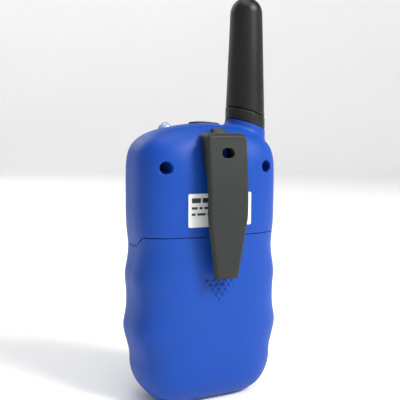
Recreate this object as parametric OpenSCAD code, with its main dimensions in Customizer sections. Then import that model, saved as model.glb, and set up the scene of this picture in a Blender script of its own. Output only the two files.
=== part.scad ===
// Hand-held two-way radio: a pocket transceiver with a stub antenna, a belt clip
// and four AAA cells behind a sliding door. The front faces -Y, the clip faces +Y,
// and the origin is the middle of the small flat that the radio stands on.

/* [Body] */
// Half the width of the body, before its finger waves
body_half_w = 28.1; // [27:0.1:30]
// Height of the body without the antenna
body_h = 103.6; // [102:0.1:106]
// Depth of the body behind its widest section
back_depth = 16.9; // [16:0.1:18]
// Depth of the body in front of its widest section
front_depth = 16.2; // [15.5:0.1:17]
// Exponent of the body's rounded section
section_power = 3.2; // [2.6:0.1:4]
// How far the rounded bottom would reach below the flat it stands on
foot_sink = 0.8; // [0.4:0.1:1.2]
// Wall of the rear case and the front case
case_wall = 2.2; // [2:0.1:2.6]
// Wall of the battery door
door_wall = 1.8; // [1.4:0.1:2]
// Place of the seam between the front case and the rear case
split_y = -9; // [-10:0.5:-8]
// Gap at each seam
seam_gap = 0.2; // [0.1:0.05:0.4]

/* [Battery door] */
// Height of the door's top edge on the back
seam_back_z = 63; // [60:0.5:65]
// Height of the door's top edge on the sides
seam_side_z = 59; // [57:0.5:60]
// Spacing of the raised grip dots
dot_pitch = 2.55; // [2:0.05:3]
// Number of rows of grip dots
dot_rows = 5; // [3:1:6]
// Height of the lowest grip dot
dot_z = 40.1; // [36:0.1:44]

/* [Antenna] */
// Distance of the antenna's axis from the middle of the body
antenna_x = -18.5; // [-19:0.1:-17]
// Height of the antenna's tip
antenna_tip_z = 151; // [130:1:170]
// Radius of the antenna at its collar
antenna_r = 7.6; // [7:0.1:7.8]
// Radius of the antenna at its tip
antenna_tip_r = 6.1; // [5:0.1:6.5]
// Slant of the collar, as rise over run
collar_slope = 0.3; // [0.2:0.05:0.4]

/* [Belt clip] */
// Half the width of the clip at its top
clip_half_w = 7.65; // [7:0.05:8.5]
// Half the width of the clip at its lower end
clip_tip_half_w = 4.6; // [4:0.1:6]
// Height of the clip's top edge
clip_top_z = 99.4; // [98:0.1:100]
// Height of the clip's lower end
clip_tip_z = 48.3; // [46:0.1:52]
// Thickness of the clip's arm
clip_plate = 1.8; // [1.6:0.1:2]

/* [Cells] */
// Radius of an AAA cell
cell_r = 5.25; // [5.1:0.05:5.25]
// Length of an AAA cell with its button
cell_len = 44.5; // [44:0.1:44.5]
// Spacing of the cells
cell_pitch = 10.75; // [10.7:0.05:10.9]

/* [Keys] */
// How far each key stands out of the front panel
key_proud = 0.9; // [0.6:0.1:1.2]
// Gap around each key
key_gap = 0.25; // [0.2:0.05:0.4]

/* [Hidden] */
$fn = 48;

blue = [0.16, 0.33, 0.78];
charcoal = [0.20, 0.21, 0.21];
black = [0.07, 0.07, 0.07];
brass = [0.80, 0.65, 0.35];
steel = [0.72, 0.73, 0.75];

// Side waves of the body: height, bulge and spread of each
waves = [[57.7, -0.9, 6.4], [47, 0.6, 4.3], [27.9, 1.3, 4.9], [17, -0.8, 4.2]];
// Ends of the line towards which the body's surface closes
spine_low_z = 26;
spine_high_z = 78;
// The land on the front and back starts at this share of the half width
land_share = 0.35;
// Where the shoulders and the foot start to curve in, and how sharply
shoulder_z = 66;
shoulder_power_z = 9.2;
shoulder_power_x = 1.5;
foot_z = 24.2;
foot_power_z = 2.4;
foot_power_x = 4.7;
// The outline is stepped along X below and above these heights, and along Z between
outline_low_z = 3;
outline_high_z = 98;
foot_steps = 4;
side_steps = 25;
top_steps = 6;
ring_steps = 5;
big = 200;
eps = 0.01;

// Lip of the front case
lip_t = 0.9;
lip_front_y = -10.8;
lip_back_y = -7.9;
lip_low_z = 66;
collar_front_y = -7.6;
collar_top_z = 65;
roof_z = [58.9, 60.2];

// Battery compartment
tub_half_w = 24.3;
tub_wall = 1.3;
tub_side_y = 6.5;
tub_low_z = 9.4;
tub_high_z = 58.4;
tub_floor_y = 0.8;
cell_y = 7.1;
cell_button = 0.9;
contact_t = 0.4;
spring_len = tub_high_z - tub_low_z - cell_len - contact_t;

// Screws: place of each pair, seat and length
upper_screw = [20.1, 87.7];
lower_screw = [10.75, 11];
upper_seat_y = 4.5;
lower_seat_y = 0.2;
screw_len = 12;
screw_r = 1.1;
screw_head_r = 1.95;
screw_head_h = 1.3;
recess_r = 2.2;

// Circuit board
pcb_back_y = -7.2;
pcb_t = 1.2;
pcb_front_y = pcb_back_y - pcb_t;
pcb_screw = [18.5, 55];

// Front panel and its keys: place and half sizes of each
panel_half_w = 19;
panel_low_z = 46.5;
panel_high_z = 97;
panel_corner = 9;
panel_t = 1.2;
lcd_half_w = 14.5;
lcd_low_z = 76;
lcd_high_z = 92;
key_place = [["up", 0, 69.2], ["down", 0, 50.8], ["menu", 0, 60],
    ["call", -12.3, 60], ["monitor", 12.3, 60]];
key_root_y = -11.6;
key_face_y = -front_depth - key_proud;

// Speaker and its grille
speaker_z = 28;
speaker_r = 15;
speaker_front_y = -12.2;
grille_ring_r = 4.4;
grille_rings = 3;
grille_hole_r = 1.2;

// Microphone
mic_x = 13.5;
mic_z = 43;

// Antenna
antenna_y = 0.9;
collar_low_z = 103.2;
collar_h = 4.6;
neck_r = 7.75;
stud_r = 3;
spigot_r = 5;
former_r = 2.6;
coil_r = 3.4;
wire_r = 0.35;

// Push-to-talk key on the left side
ptt_z = 75;
ptt_half_h = 9;
ptt_y = -3.4;
ptt_half_d = 3.6;
ptt_proud = 0.9;

// Top of the body: torch lamp and earphone socket
torch = [13.4, -3];
torch_top_z = 103.9;
jack = [-2.1, -1.6];
jack_bore_r = 1.8;
jack_cover_half_w = 6.2;
jack_cover_half_d = 3.3;

// Belt clip
clip_face = [[clip_top_z, 21.6], [89, 22.8], [80, 23.7], [72, 23.75], [clip_tip_z, 22.9]];
clip_hinge = [22.35, 83.2];
knuckle_r = 1.3;
knuckle_gap = 0.05;
rail_half_w = 4.2;
rail_stem_half_w = 2.6;
rail_low_z = 89.2;
rail_high_z = 96.6;
rail_back_y = 20;
rail_head_t = 1.3;

// Label
label_half_w = 12.6;
label_low_z = 66.7;
label_high_z = 78.6;

// ---------- outline and surface of the body ----------

function wave_at(z, i = 0) = i == len(waves) ? 0
    : waves[i][1] * exp(-pow((z - waves[i][0]) / waves[i][2], 2)) + wave_at(z, i + 1);

function side_x(z) =
    (body_half_w + wave_at(z))
    * pow(1 - pow(max(0, (z - shoulder_z) / (body_h - shoulder_z)), shoulder_power_z), 1 / shoulder_power_x)
    * pow(1 - pow(max(0, (foot_z - z) / (foot_z + foot_sink)), foot_power_z), 1 / foot_power_x);

function top_z(x) = shoulder_z + (body_h - shoulder_z)
    * pow(1 - pow(abs(x) / body_half_w, shoulder_power_x), 1 / shoulder_power_z);

function bottom_z(x) = foot_z - (foot_z + foot_sink)
    * pow(1 - pow(abs(x) / body_half_w, foot_power_x), 1 / foot_power_z);

function half_outline() = let (low_x = side_x(outline_low_z), high_x = side_x(outline_high_z)) concat(
    [for (i = [0:foot_steps - 1]) let (x = low_x * i / foot_steps) [x, bottom_z(x)]],
    [for (i = [0:side_steps])
        let (z = outline_low_z + (outline_high_z - outline_low_z) * i / side_steps) [side_x(z), z]],
    [for (i = [1:top_steps]) let (x = high_x * (1 - i / top_steps)) [x, top_z(x)]]
);

function mirrored(half) = concat(half, [for (i = [len(half) - 2:-1:1]) [-half[i][0], half[i][1]]]);

outline = mirrored(half_outline());
points_round = len(outline);

// A point of the outline, drawn in towards the spine by a share and an inset
function drawn_in(c, share, inset) =
    let (axis = [0, min(spine_high_z, max(spine_low_z, c[1]))], reach = norm(c - axis))
    axis + (c - axis) * share * (1 - inset / reach);

// Back to front: share of the outline and of the depth at each ring
land_angle = acos(pow(land_share, section_power / 2));
rings = [for (i = [-ring_steps:ring_steps])
    let (a = -land_angle * i / ring_steps)
    [pow(cos(a), 2 / section_power), sign(a) * pow(abs(sin(a)), 2 / section_power)]];

// The whole body as one closed solid, its skin moved in by an inset
module body_solid(inset = 0) {
    n = points_round;
    last = len(rings) - 1;
    points = [for (r = rings, c = outline)
        let (p = drawn_in(c, r[0], inset), depth = (r[1] > 0 ? back_depth : front_depth) - inset)
        [p[0], r[1] * depth, p[1]]];
    sides = [for (j = [0:last - 1], i = [0:n - 1])
        let (k = (i + 1) % n)
        each [[(j + 1) * n + i, (j + 1) * n + k, j * n + k], [(j + 1) * n + i, j * n + k, j * n + i]]];
    polyhedron(points, concat([[for (i = [0:n - 1]) i], [for (i = [n - 1:-1:0]) last * n + i]], sides));
}

// A layer of the body between two insets
module body_layer(outer, inner) {
    difference() {
        body_solid(outer);
        body_solid(inner);
    }
}

// ---------- shapes used by several pieces ----------

// Joins its children into one closed skin
module one_skin() {
    resize([0, 0, 0]) union() children();
}

// Extrudes an XZ outline from y0 to y1
module along_y(y0, y1) {
    translate([0, y1, 0]) rotate([90, 0, 0]) linear_extrude(y1 - y0) children();
}

// Extrudes a YZ outline from x0 to x1
module along_x(x0, x1) {
    translate([x0, 0, 0]) rotate([90, 0, 90]) linear_extrude(x1 - x0) children();
}

// A round bar along Y
module bar_y(x, z, y0, y1, r, fn = 32) {
    translate([x, y1, z]) rotate([90, 0, 0]) cylinder(h = y1 - y0, r = r, $fn = fn);
}

module box_between(low, high) {
    translate(low) cube(high - low);
}

module rounded_rect(half_w, low, high, r) {
    hull()
        for (x = [-half_w + r, half_w - r], z = [low + r, high - r])
            translate([x, z]) circle(r, $fn = 32);
}

module both_sides() {
    for (s = [-1, 1]) scale([s, 1, 1]) children();
}

// A wire along a helix about Z; radius may change from its foot to its top
module helix(r0, r1, z0, z1, turns, wire, per_turn, sides = 6) {
    steps = round(turns * per_turn);
    ring = [for (i = [0:steps]) let (t = i / steps, a = 360 * turns * t, r = r0 + (r1 - r0) * t)
        for (k = [0:sides - 1]) let (b = 360 * k / sides, q = r + wire * cos(b))
            [q * cos(a), q * sin(a), z0 + (z1 - z0) * t + wire * sin(b)]];
    skin = [for (i = [0:steps - 1], k = [0:sides - 1])
        let (m = (k + 1) % sides)
        each [[i * sides + k, (i + 1) * sides + m, i * sides + m],
            [i * sides + k, (i + 1) * sides + k, (i + 1) * sides + m]]];
    ends = [[for (k = [0:sides - 1]) k], [for (k = [sides - 1:-1:0]) steps * sides + k]];
    polyhedron(ring, concat(skin, ends));
}

// ---------- case ----------

// Everything below the door's S-shaped seam, lowered by a gap
module below_seam(gap) {
    bend = [for (i = [0:6]) let (t = i / 6)
        [3 + 5.7 * t, seam_side_z + (seam_back_z - seam_side_z) * (1 - cos(180 * t)) / 2 - gap]];
    along_x(-big, big) polygon(concat([[-big, -big], [-big, seam_side_z - gap]], bend,
        [[big, seam_back_z - gap], [big, -big]]));
}

module behind(y) {
    box_between([-big, y, -big], [big, big, big]);
}

module above_floor() {
    box_between([-big, -big, 0], [big, big, big]);
}

// The half space under the slanted plane through a height on the antenna's axis
module under_slant(z) {
    translate([antenna_x, antenna_y, z]) rotate([0, -atan(collar_slope), 0])
        box_between([-50, -50, -50], [50, 50, 0]);
}

module neck() {
    intersection() {
        translate([antenna_x, antenna_y, 0]) union() {
            translate([0, 0, 92]) cylinder(h = 20, r1 = neck_r + 0.4, r2 = neck_r - 0.1);
            translate([1.2, 0, 99]) cylinder(h = 5.6, r1 = 9.8, r2 = 7.3);
        }
        under_slant(collar_low_z);
        behind(split_y + seam_gap / 2);
    }
}

// Stem and head of the rail that the belt clip slides over
module clip_rail(slack) {
    box_between([-rail_stem_half_w - slack, 12, rail_low_z - slack],
        [rail_stem_half_w + slack, rail_back_y, rail_high_z + slack]);
    box_between([-rail_half_w - slack, rail_back_y - rail_head_t - slack, rail_low_z - slack],
        [rail_half_w + slack, rail_back_y + slack, rail_high_z + slack]);
}

// The straight space that the door leaves free as it slides off
module door_path() {
    half = door_wall + 0.35;
    ring = [for (a = [0:6:354]) [
        sign(cos(a)) * pow(abs(cos(a)), 2 / section_power) * (body_half_w - 0.9 - half),
        sign(sin(a)) * pow(abs(sin(a)), 2 / section_power) * (back_depth - half)]];
    linear_extrude(60) polygon(ring);
}

module tub_box() {
    // floor, side walls and end walls around the cells
    box_between([-tub_half_w, tub_floor_y - tub_wall, tub_low_z - tub_wall],
        [tub_half_w, tub_floor_y, tub_high_z + tub_wall]);
    both_sides() box_between([tub_half_w - tub_wall, tub_floor_y - eps, tub_low_z - tub_wall],
        [tub_half_w, tub_side_y, tub_high_z + tub_wall]);
    for (z = [tub_low_z - tub_wall, tub_high_z])
        box_between([-tub_half_w, tub_floor_y - eps, z], [tub_half_w, 11.4, z + tub_wall]);
}

module tub() {
    intersection() {
        tub_box();
        body_solid(door_wall + 0.35);
        door_path();
    }
    // low ribs between the cells
    for (i = [-1:1], z = [18, 46])
        box_between([i * cell_pitch - 0.5, tub_floor_y - eps, z], [i * cell_pitch + 0.5, 3.4, z + 3]);
    // bosses under the lower screws
    both_sides() bar_y(lower_screw[0], lower_screw[1], -1.6, tub_floor_y, 3.2);
}

module rear_case() {
    color(blue) one_skin() difference() {
        union() {
            intersection() {
                difference() {
                    body_layer(0, case_wall);
                    below_seam(-seam_gap / 2);
                }
                behind(split_y + seam_gap / 2);
            }
            // collar that closes the seam from inside, and the roof of the battery compartment
            intersection() {
                union() {
                    body_layer(case_wall - 0.2, case_wall + 1.1);
                    intersection() {
                        body_solid(case_wall);
                        box_between([-big, tub_floor_y - tub_wall, roof_z[0]], [big, big, roof_z[1]]);
                    }
                }
                box_between([-big, collar_front_y, roof_z[0]], [big, big, collar_top_z]);
            }
            difference() {
                neck();
                body_solid(case_wall);
            }
            tub();
            // joins the compartment's end wall to the collar
            intersection() {
                body_solid(case_wall);
                box_between([-tub_half_w + 0.3, tub_floor_y - tub_wall + 0.2, tub_high_z + 0.5],
                    [tub_half_w - 0.3, 10, roof_z[1]]);
            }
            both_sides() intersection() {
                body_solid(0.5);
                bar_y(upper_screw[0], upper_screw[1], -1.9, 20, 3.5);
            }
            difference() {
                clip_rail(0);
                body_solid(1);
            }
        }
        both_sides() {
            bar_y(upper_screw[0], upper_screw[1], upper_seat_y, 20, recess_r);
            bar_y(upper_screw[0], upper_screw[1], -3, 20, screw_r + 0.15);
            bar_y(lower_screw[0], lower_screw[1], lower_seat_y - 0.2, 3, recess_r);
            bar_y(lower_screw[0], lower_screw[1], -3, 3, screw_r + 0.15);
        }
        bar_y(0, 92.9, 14.9, 30, 1.9);
        translate([antenna_x, antenna_y, 90]) cylinder(h = 30, r = spigot_r + 0.1);
        translate([torch[0], torch[1], 96]) cylinder(h = 12, r = 2.65);
        translate([jack[0], jack[1], 96]) cylinder(h = 12, r = 2.6);
        jack_cover_seat(0.15);
        ptt_hole();
    }
}

module battery_door() {
    color(blue) one_skin() {
        intersection() {
            body_layer(0, door_wall);
            below_seam(seam_gap / 2);
            behind(split_y + seam_gap / 2);
            above_floor();
        }
        // raised grip dots in a triangle that points the way the door slides
        intersection() {
            for (row = [0:dot_rows - 1], i = [0:row])
                bar_y((i - row / 2) * dot_pitch, dot_z + row * dot_pitch * 0.66, 15.6, 20, 0.72, 16);
            body_solid(-0.35);
        }
    }
}

module grille_holes() {
    bar_y(0, speaker_z, -20, -10, grille_hole_r, 10);
    for (ring = [1:grille_rings - 1], i = [0:ring * 6 - 1])
        let (a = 360 * i / (ring * 6), r = ring * grille_ring_r)
        bar_y(r * cos(a), speaker_z + r * sin(a), -20, -10, grille_hole_r, 10);
}

module panel_outline(shrink = 0) {
    rounded_rect(panel_half_w - shrink, panel_low_z + shrink, panel_high_z - shrink, panel_corner - shrink);
}

module front_case() {
    color(blue) one_skin() difference() {
        union() {
            difference() {
                body_layer(0, case_wall);
                behind(split_y - seam_gap / 2);
            }
            // rim, and the lip that keys into the rear case and the door
            intersection() {
                body_layer(case_wall - 0.1, case_wall + lip_t);
                box_between([-big, lip_front_y, -big], [big, split_y - seam_gap / 2, big]);
            }
            intersection() {
                body_layer(case_wall + 0.15, case_wall + lip_t);
                box_between([-big, lip_front_y, lip_low_z], [big, lip_back_y, big]);
            }
            intersection() {
                body_solid(1);
                union() {
                    both_sides() {
                        bar_y(upper_screw[0], upper_screw[1], -20, -2.1, 2.8);
                        bar_y(lower_screw[0], lower_screw[1], -20, -1.8, 2.8);
                        bar_y(pcb_screw[0], pcb_screw[1], -20, pcb_front_y, 2.2);
                    }
                    // ring that holds the speaker
                    difference() {
                        bar_y(0, speaker_z, -20, -11, speaker_r + 1.55);
                        bar_y(0, speaker_z, -20, -10, speaker_r + 0.15);
                    }
                }
            }
        }
        difference() {
            along_y(-20, -5) panel_outline();
            body_solid(panel_t + 0.1);
        }
        box_between([-lcd_half_w - 0.65, -20, lcd_low_z - 0.65], [lcd_half_w + 0.65, -5, lcd_high_z + 0.65]);
        for (k = key_place) translate([k[1], 0, k[2]]) along_y(-20, -5) key_shape(k[0], key_gap + 0.5);
        grille_holes();
        bar_y(mic_x, mic_z, -20, -9, 0.8, 16);
        both_sides() {
            bar_y(upper_screw[0], upper_screw[1], -12, 0, screw_r + 0.05);
            bar_y(lower_screw[0], lower_screw[1], -14, 0, screw_r + 0.05);
            bar_y(pcb_screw[0], pcb_screw[1], -13.2, -5, 0.85);
        }
    }
}

module front_panel() {
    color(charcoal) one_skin() difference() {
        intersection() {
            body_layer(0.1, panel_t);
            along_y(-20, -5) panel_outline(0.15);
        }
        along_y(-20, -5) rounded_rect(lcd_half_w, lcd_low_z, lcd_high_z, 2.5);
        for (k = key_place) translate([k[1], 0, k[2]]) along_y(-20, -5) key_shape(k[0], key_gap);
    }
}

module label() {
    color([0.86, 0.88, 0.87]) one_skin() intersection() {
        body_layer(-0.12, 0);
        along_y(10, 20) rounded_rect(label_half_w, label_low_z, label_high_z, 0.6);
    }
}

// ---------- display and keys ----------

module lcd_window() {
    color([0.55, 0.62, 0.60, 0.5]) along_y(-15.9, -14.7)
        rounded_rect(lcd_half_w - 0.1, lcd_low_z + 0.1, lcd_high_z - 0.1, 2.4);
}

module lcd_module() {
    color([0.45, 0.52, 0.40]) {
        box_between([-13.5, -13.2, lcd_low_z + 0.4], [13.5, -11.4, lcd_high_z - 0.4]);
        box_between([-14.8, -11.4, lcd_low_z - 1], [14.8, pcb_front_y, lcd_high_z + 0.8]);
    }
}

// Outline of one key about its own middle, grown by a margin
module key_shape(name, grow = 0) {
    if (name == "menu") circle(4.2 + grow);
    if (name == "up" || name == "down") rounded_rect(6.5 + grow, -2.6 - grow, 2.6 + grow, 2.4 + grow);
    if (name == "call" || name == "monitor") rounded_rect(4.2 + grow, -3 - grow, 3 + grow, 2.8 + grow);
}

// A key's cap with a wider foot that keeps it behind the panel
module key_cap(i) {
    name = key_place[i][0];
    color(charcoal) translate([key_place[i][1], 0, key_place[i][2]]) {
        along_y(key_face_y, key_root_y) key_shape(name);
        along_y(key_root_y - 1, key_root_y) key_shape(name, 0.7);
    }
}

module key_up() { key_cap(0); }
module key_down() { key_cap(1); }
module key_menu() { key_cap(2); }
module key_call() { key_cap(3); }
module key_monitor() { key_cap(4); }

module keypad_membrane() {
    color([0.75, 0.75, 0.72]) {
        along_y(-9.6, pcb_front_y) rounded_rect(16, 47.6, 73.4, 3);
        for (k = key_place) bar_y(k[1], k[2], -10.3, -9.6, 2.2);
    }
}

// ---------- push-to-talk key ----------

module ptt_shape(grow) {
    translate([ptt_y, ptt_z])
        rounded_rect(ptt_half_d + grow, -ptt_half_h - grow, ptt_half_h + grow, 2.6 + grow);
}

module ptt_hole() {
    along_x(-40, -20) ptt_shape(0.25);
}

module ptt_button() {
    color(charcoal) one_skin() {
        intersection() {
            body_layer(-ptt_proud, case_wall);
            along_x(-40, -20) ptt_shape(0);
        }
        intersection() {
            body_layer(case_wall + 0.3, case_wall + 1.1);
            along_x(-40, -20) ptt_shape(0.7);
        }
        along_x(-26, -23.4) translate([ptt_y, ptt_z]) square([3, 12], center = true);
    }
}

module ptt_switch() {
    color(black) box_between([-21.8, pcb_back_y, ptt_z - 3.5], [-17.8, -2.6, ptt_z + 3.5]);
    color(steel) box_between([-22, -5.2, ptt_z - 1.4], [-21.8, -3.2, ptt_z + 1.4]);
}

// ---------- top: torch lamp and earphone socket ----------

module torch_led() {
    color([0.85, 0.88, 0.92]) translate([torch[0], torch[1], 0]) {
        translate([0, 0, torch_top_z - 2.5]) intersection() {
            sphere(2.5);
            cylinder(h = 5, r = 3);
        }
        translate([0, 0, torch_top_z - 8.6]) cylinder(h = 6.1, r = 2.5);
        translate([0, 0, torch_top_z - 8.6]) cylinder(h = 1, r = 2.9);
    }
    color(steel) for (x = [-1.27, 1.27])
        translate([torch[0] + x, torch[1], 90]) cylinder(h = torch_top_z - 98.6, r = 0.25);
}

module jack_socket() {
    color(black) difference() {
        box_between([jack[0] - 4, pcb_back_y, 87], [jack[0] + 4, jack[1] + 3.4, 98]);
        translate([jack[0], jack[1], 88]) cylinder(h = 20, r = jack_bore_r);
    }
    color(steel) translate([jack[0], jack[1], 98]) difference() {
        cylinder(h = 2.6, r = 2.5);
        translate([0, 0, -1]) cylinder(h = 5, r = jack_bore_r);
    }
}

// The space of the cover on the crown of the body, from just under its skin upwards
module jack_cover_outline(grow) {
    translate([jack[0], jack[1]]) hull() both_sides()
        translate([jack_cover_half_w - jack_cover_half_d, 0]) circle(jack_cover_half_d + grow, $fn = 32);
}

module jack_cover_seat(grow) {
    difference() {
        translate([0, 0, 98]) linear_extrude(12) jack_cover_outline(grow);
        body_solid(0.6);
    }
}

module jack_cover() {
    color(black) one_skin() {
        intersection() {
            body_layer(-0.7, 0.55);
            translate([0, 0, 98]) linear_extrude(12) jack_cover_outline(0);
        }
        translate([jack[0], jack[1], 101]) cylinder(h = 2.6, r = 1.1);
    }
}

// ---------- electronics ----------

module main_pcb() {
    color([0.10, 0.38, 0.22]) difference() {
        along_y(pcb_front_y, pcb_back_y)
            polygon([[-21.4, 47], [21.4, 47], [21.4, 86], [15.5, 95.6], [-15.5, 95.6], [-21.4, 86]]);
        both_sides() {
            bar_y(upper_screw[0], upper_screw[1], -12, 0, 3.8);
            bar_y(pcb_screw[0], pcb_screw[1], -12, 0, 1.1);
        }
    }
}

module rf_shield() {
    color(steel) difference() {
        box_between([-11, pcb_back_y, 64], [13, pcb_back_y + 3, 84]);
        box_between([-10.7, pcb_back_y - 1, 64.3], [12.7, pcb_back_y + 2.7, 83.7]);
    }
}

module main_chip() {
    color(black) box_between([-4, pcb_back_y, 70], [5, pcb_back_y + 1.2, 79]);
}

module speaker_frame() {
    color(steel) translate([0, speaker_front_y, speaker_z]) rotate([-90, 0, 0]) rotate_extrude() polygon([
        [speaker_r, 0], [speaker_r, 1.4], [13, 1.8], [10, 4.4], [8.5, 4.4], [8.5, 7.6], [0, 7.6],
        [0, 6], [3.6, 6], [3.6, 3.4], [8.8, 3.4], [11.8, 1], [13.6, 0.6], [13.6, 0]
    ]);
}

module speaker_cone() {
    color(black) translate([0, speaker_front_y, speaker_z]) rotate([-90, 0, 0]) rotate_extrude() polygon([
        [0, 1], [2.2, 1.3], [3.2, 2.2], [11, 0.6], [12.4, 0.1], [13.4, 0.1],
        [13.4, 0.4], [12.4, 0.5], [11.2, 1], [3.4, 2.8], [3.3, 4.6], [3, 4.6], [3, 2.6], [0, 1.4]
    ]);
}

module speaker_felt() {
    color([0.15, 0.15, 0.16]) bar_y(0, speaker_z, speaker_front_y - 0.8, speaker_front_y - 0.1, 12.4);
}

module microphone() {
    color(steel) bar_y(mic_x, mic_z, -11.1, -9.1, 3);
}

module microphone_boot() {
    color(black) difference() {
        bar_y(mic_x, mic_z, -11.7, -8.7, 3.7);
        bar_y(mic_x, mic_z, -11.15, -8, 3.02);
        bar_y(mic_x, mic_z, -14, -8, 0.8);
    }
}

// ---------- cells ----------

// Places its children at each cell, turned over on every second one
module at_cells() {
    for (i = [0:3]) translate([(i - 1.5) * cell_pitch, cell_y, (tub_low_z + tub_high_z) / 2])
        rotate([i % 2 * 180, 0, 0]) children();
}

module battery_cells() {
    low = -(tub_high_z - tub_low_z) / 2 + spring_len;
    at_cells() {
        color([0.25, 0.26, 0.28]) translate([0, 0, low]) cylinder(h = cell_len - cell_button, r = cell_r);
        color(steel) translate([0, 0, low]) cylinder(h = cell_len, r = 1.9);
    }
}

module cell_springs() {
    low = -(tub_high_z - tub_low_z) / 2;
    color(steel) at_cells()
        helix(3.6, 2.2, low + 0.85, low + spring_len - 0.35, 2.6, 0.3, 12);
}

module cell_contacts() {
    half = (tub_high_z - tub_low_z) / 2;
    color(steel) at_cells() {
        translate([-3.4, -3.4, half - contact_t]) cube([6.8, 6.8, contact_t]);
        translate([-3.7, -3.7, -half]) cube([7.4, 7.4, 0.5]);
    }
}

// ---------- fasteners ----------

module screw(r, len, head_r, head_h) {
    rotate([90, 0, 0]) cylinder(h = len, r = r);
    difference() {
        rotate([-90, 0, 0]) cylinder(h = head_h, r = head_r);
        for (a = [0, 90]) rotate([0, a, 0])
            translate([-head_r * 0.62, head_h - 0.7, -0.25]) cube([head_r * 1.24, 2, 0.5]);
    }
}

module case_screws() {
    color(steel) both_sides() {
        translate([upper_screw[0], upper_seat_y, upper_screw[1]])
            screw(screw_r, screw_len, screw_head_r, screw_head_h);
        translate([lower_screw[0], lower_seat_y - 0.2, lower_screw[1]])
            screw(screw_r, screw_len, screw_head_r, screw_head_h);
    }
}

module pcb_screws() {
    color(steel) both_sides() translate([pcb_screw[0], pcb_back_y, pcb_screw[1]]) screw(0.8, 5, 1.7, 1.1);
}

// ---------- antenna ----------

module at_antenna() {
    translate([antenna_x, antenna_y, 0]) children();
}

module antenna_sleeve() {
    groove_z = collar_low_z + collar_h;
    dome_z = antenna_tip_z - antenna_tip_r;
    color(black) difference() {
        at_antenna() union() {
            translate([0, 0, collar_low_z])
                cylinder(h = dome_z - collar_low_z, r1 = antenna_r, r2 = antenna_tip_r);
            translate([0, 0, dome_z]) sphere(antenna_tip_r);
        }
        under_slant(groove_z + 0.15);
        at_antenna() translate([0, 0, 100]) cylinder(h = dome_z - 98.5, r = coil_r + wire_r + 0.25);
    }
}

module antenna_collar() {
    color(black) {
        difference() {
            at_antenna() translate([0, 0, 98]) cylinder(h = 14, r = antenna_r);
            under_slant(collar_low_z + 0.05);
            at_antenna() translate([0, 0, 90]) cylinder(h = 40, r = stud_r + 0.05);
            translate([0, 0, collar_h - 0.15]) difference() {
                translate([antenna_x - 40, -40, 60]) cube([80, 80, 80]);
                under_slant(collar_low_z);
            }
        }
        difference() {
            at_antenna() translate([0, 0, 96.6]) cylinder(h = 7.2, r = spigot_r);
            at_antenna() translate([0, 0, 90]) cylinder(h = 40, r = stud_r + 0.05);
        }
    }
}

module antenna_stud() {
    color(brass) at_antenna() {
        translate([0, 0, 94]) cylinder(h = 13, r = stud_r);
        translate([0, 0, 107]) cylinder(h = 3, r = 1.5);
    }
}

module antenna_former() {
    color([0.85, 0.84, 0.78]) at_antenna() difference() {
        translate([0, 0, 107.1]) cylinder(h = 36.9, r = former_r);
        translate([0, 0, 106]) cylinder(h = 4.1, r = 1.55);
    }
}

module antenna_coil() {
    color(brass) at_antenna()
        helix(former_r + wire_r + 0.05, former_r + wire_r + 0.05, 111.5, 141, 11, wire_r, 14);
}

module antenna_contact() {
    color(brass) {
        box_between([antenna_x - 2, pcb_back_y, 90.6], [antenna_x + 2, pcb_back_y + 0.4, 93.9]);
        box_between([antenna_x - 1.6, pcb_back_y, 93.5], [antenna_x + 1.6, antenna_y + 1, 93.9]);
    }
}

// ---------- belt clip ----------

// Outer face of the clip and a parallel inner face
module clip_side_profile() {
    outer = [for (p = clip_face) [p[1], p[0]]];
    polygon(concat(outer, [[20.7, clip_tip_z], [20.9, clip_tip_z + 2.2]],
        [[21.1, 52.5], [23.75 - clip_plate, 72], [23.7 - clip_plate, 80],
            [20.3, 85], [16.5, 87.6], [12, 88],
        [12, clip_top_z - 0.6], [13.4, clip_top_z], [20.6, clip_top_z]]));
}

module clip_front_outline() {
    hull() {
        for (s = [-1, 1]) {
            translate([s * (clip_half_w - 2.3), clip_top_z - 2.3]) circle(2.3, $fn = 32);
            translate([s * (clip_half_w - 0.5), 75]) circle(0.45, $fn = 32);
            translate([s * (clip_tip_half_w - 1.2), clip_tip_z + 1.2]) circle(1.2, $fn = 32);
        }
    }
}

module clip_blank() {
    intersection() {
        along_x(-10, 10) clip_side_profile();
        along_y(5, 30) clip_front_outline();
    }
}

// The wedge around the clip's bending line that both halves leave free
module clip_bend(r, open) {
    translate([0, clip_hinge[0], clip_hinge[1]]) rotate([90, 0, 90]) translate([0, 0, -10]) {
        cylinder(h = 20, r = r);
        linear_extrude(20)
            polygon([[0, 0], [20, 20 * tan(open)], [20, -80], [-20, -80], [-20, 20 * tan(open)]]);
    }
}

module clip_base() {
    color(charcoal) {
        difference() {
            clip_blank();
            body_clear();
            clip_bend(knuckle_r + knuckle_gap, 15);
            clip_groove();
            bar_y(0, 92.9, 17, 30, 1.75);
            hull() for (x = [-0.65, 0.65]) bar_y(x, 92.9, 19, 30, 1.75, 32);
        }
        clip_latch();
    }
}

module clip_arm() {
    color(charcoal) difference() {
        intersection() {
            clip_blank();
            clip_bend(knuckle_r, -2);
        }
        bar_y(0, 92.9, 17, 30, 3);
    }
}

// Room for the rail, open at the clip's lower side
module clip_groove() {
    hull() {
        clip_groove_part(rail_stem_half_w, 12);
        translate([0, 0, -6]) clip_groove_part(rail_stem_half_w, 12);
    }
    hull() {
        clip_groove_part(rail_half_w, rail_back_y - rail_head_t);
        translate([0, 0, -6]) clip_groove_part(rail_half_w, rail_back_y - rail_head_t);
    }
}

module clip_groove_part(half_w, y0) {
    box_between([-half_w - 0.15, y0 - 0.15, rail_low_z],
        [half_w + 0.15, rail_back_y + 0.15, rail_high_z + 0.15]);
}

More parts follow.
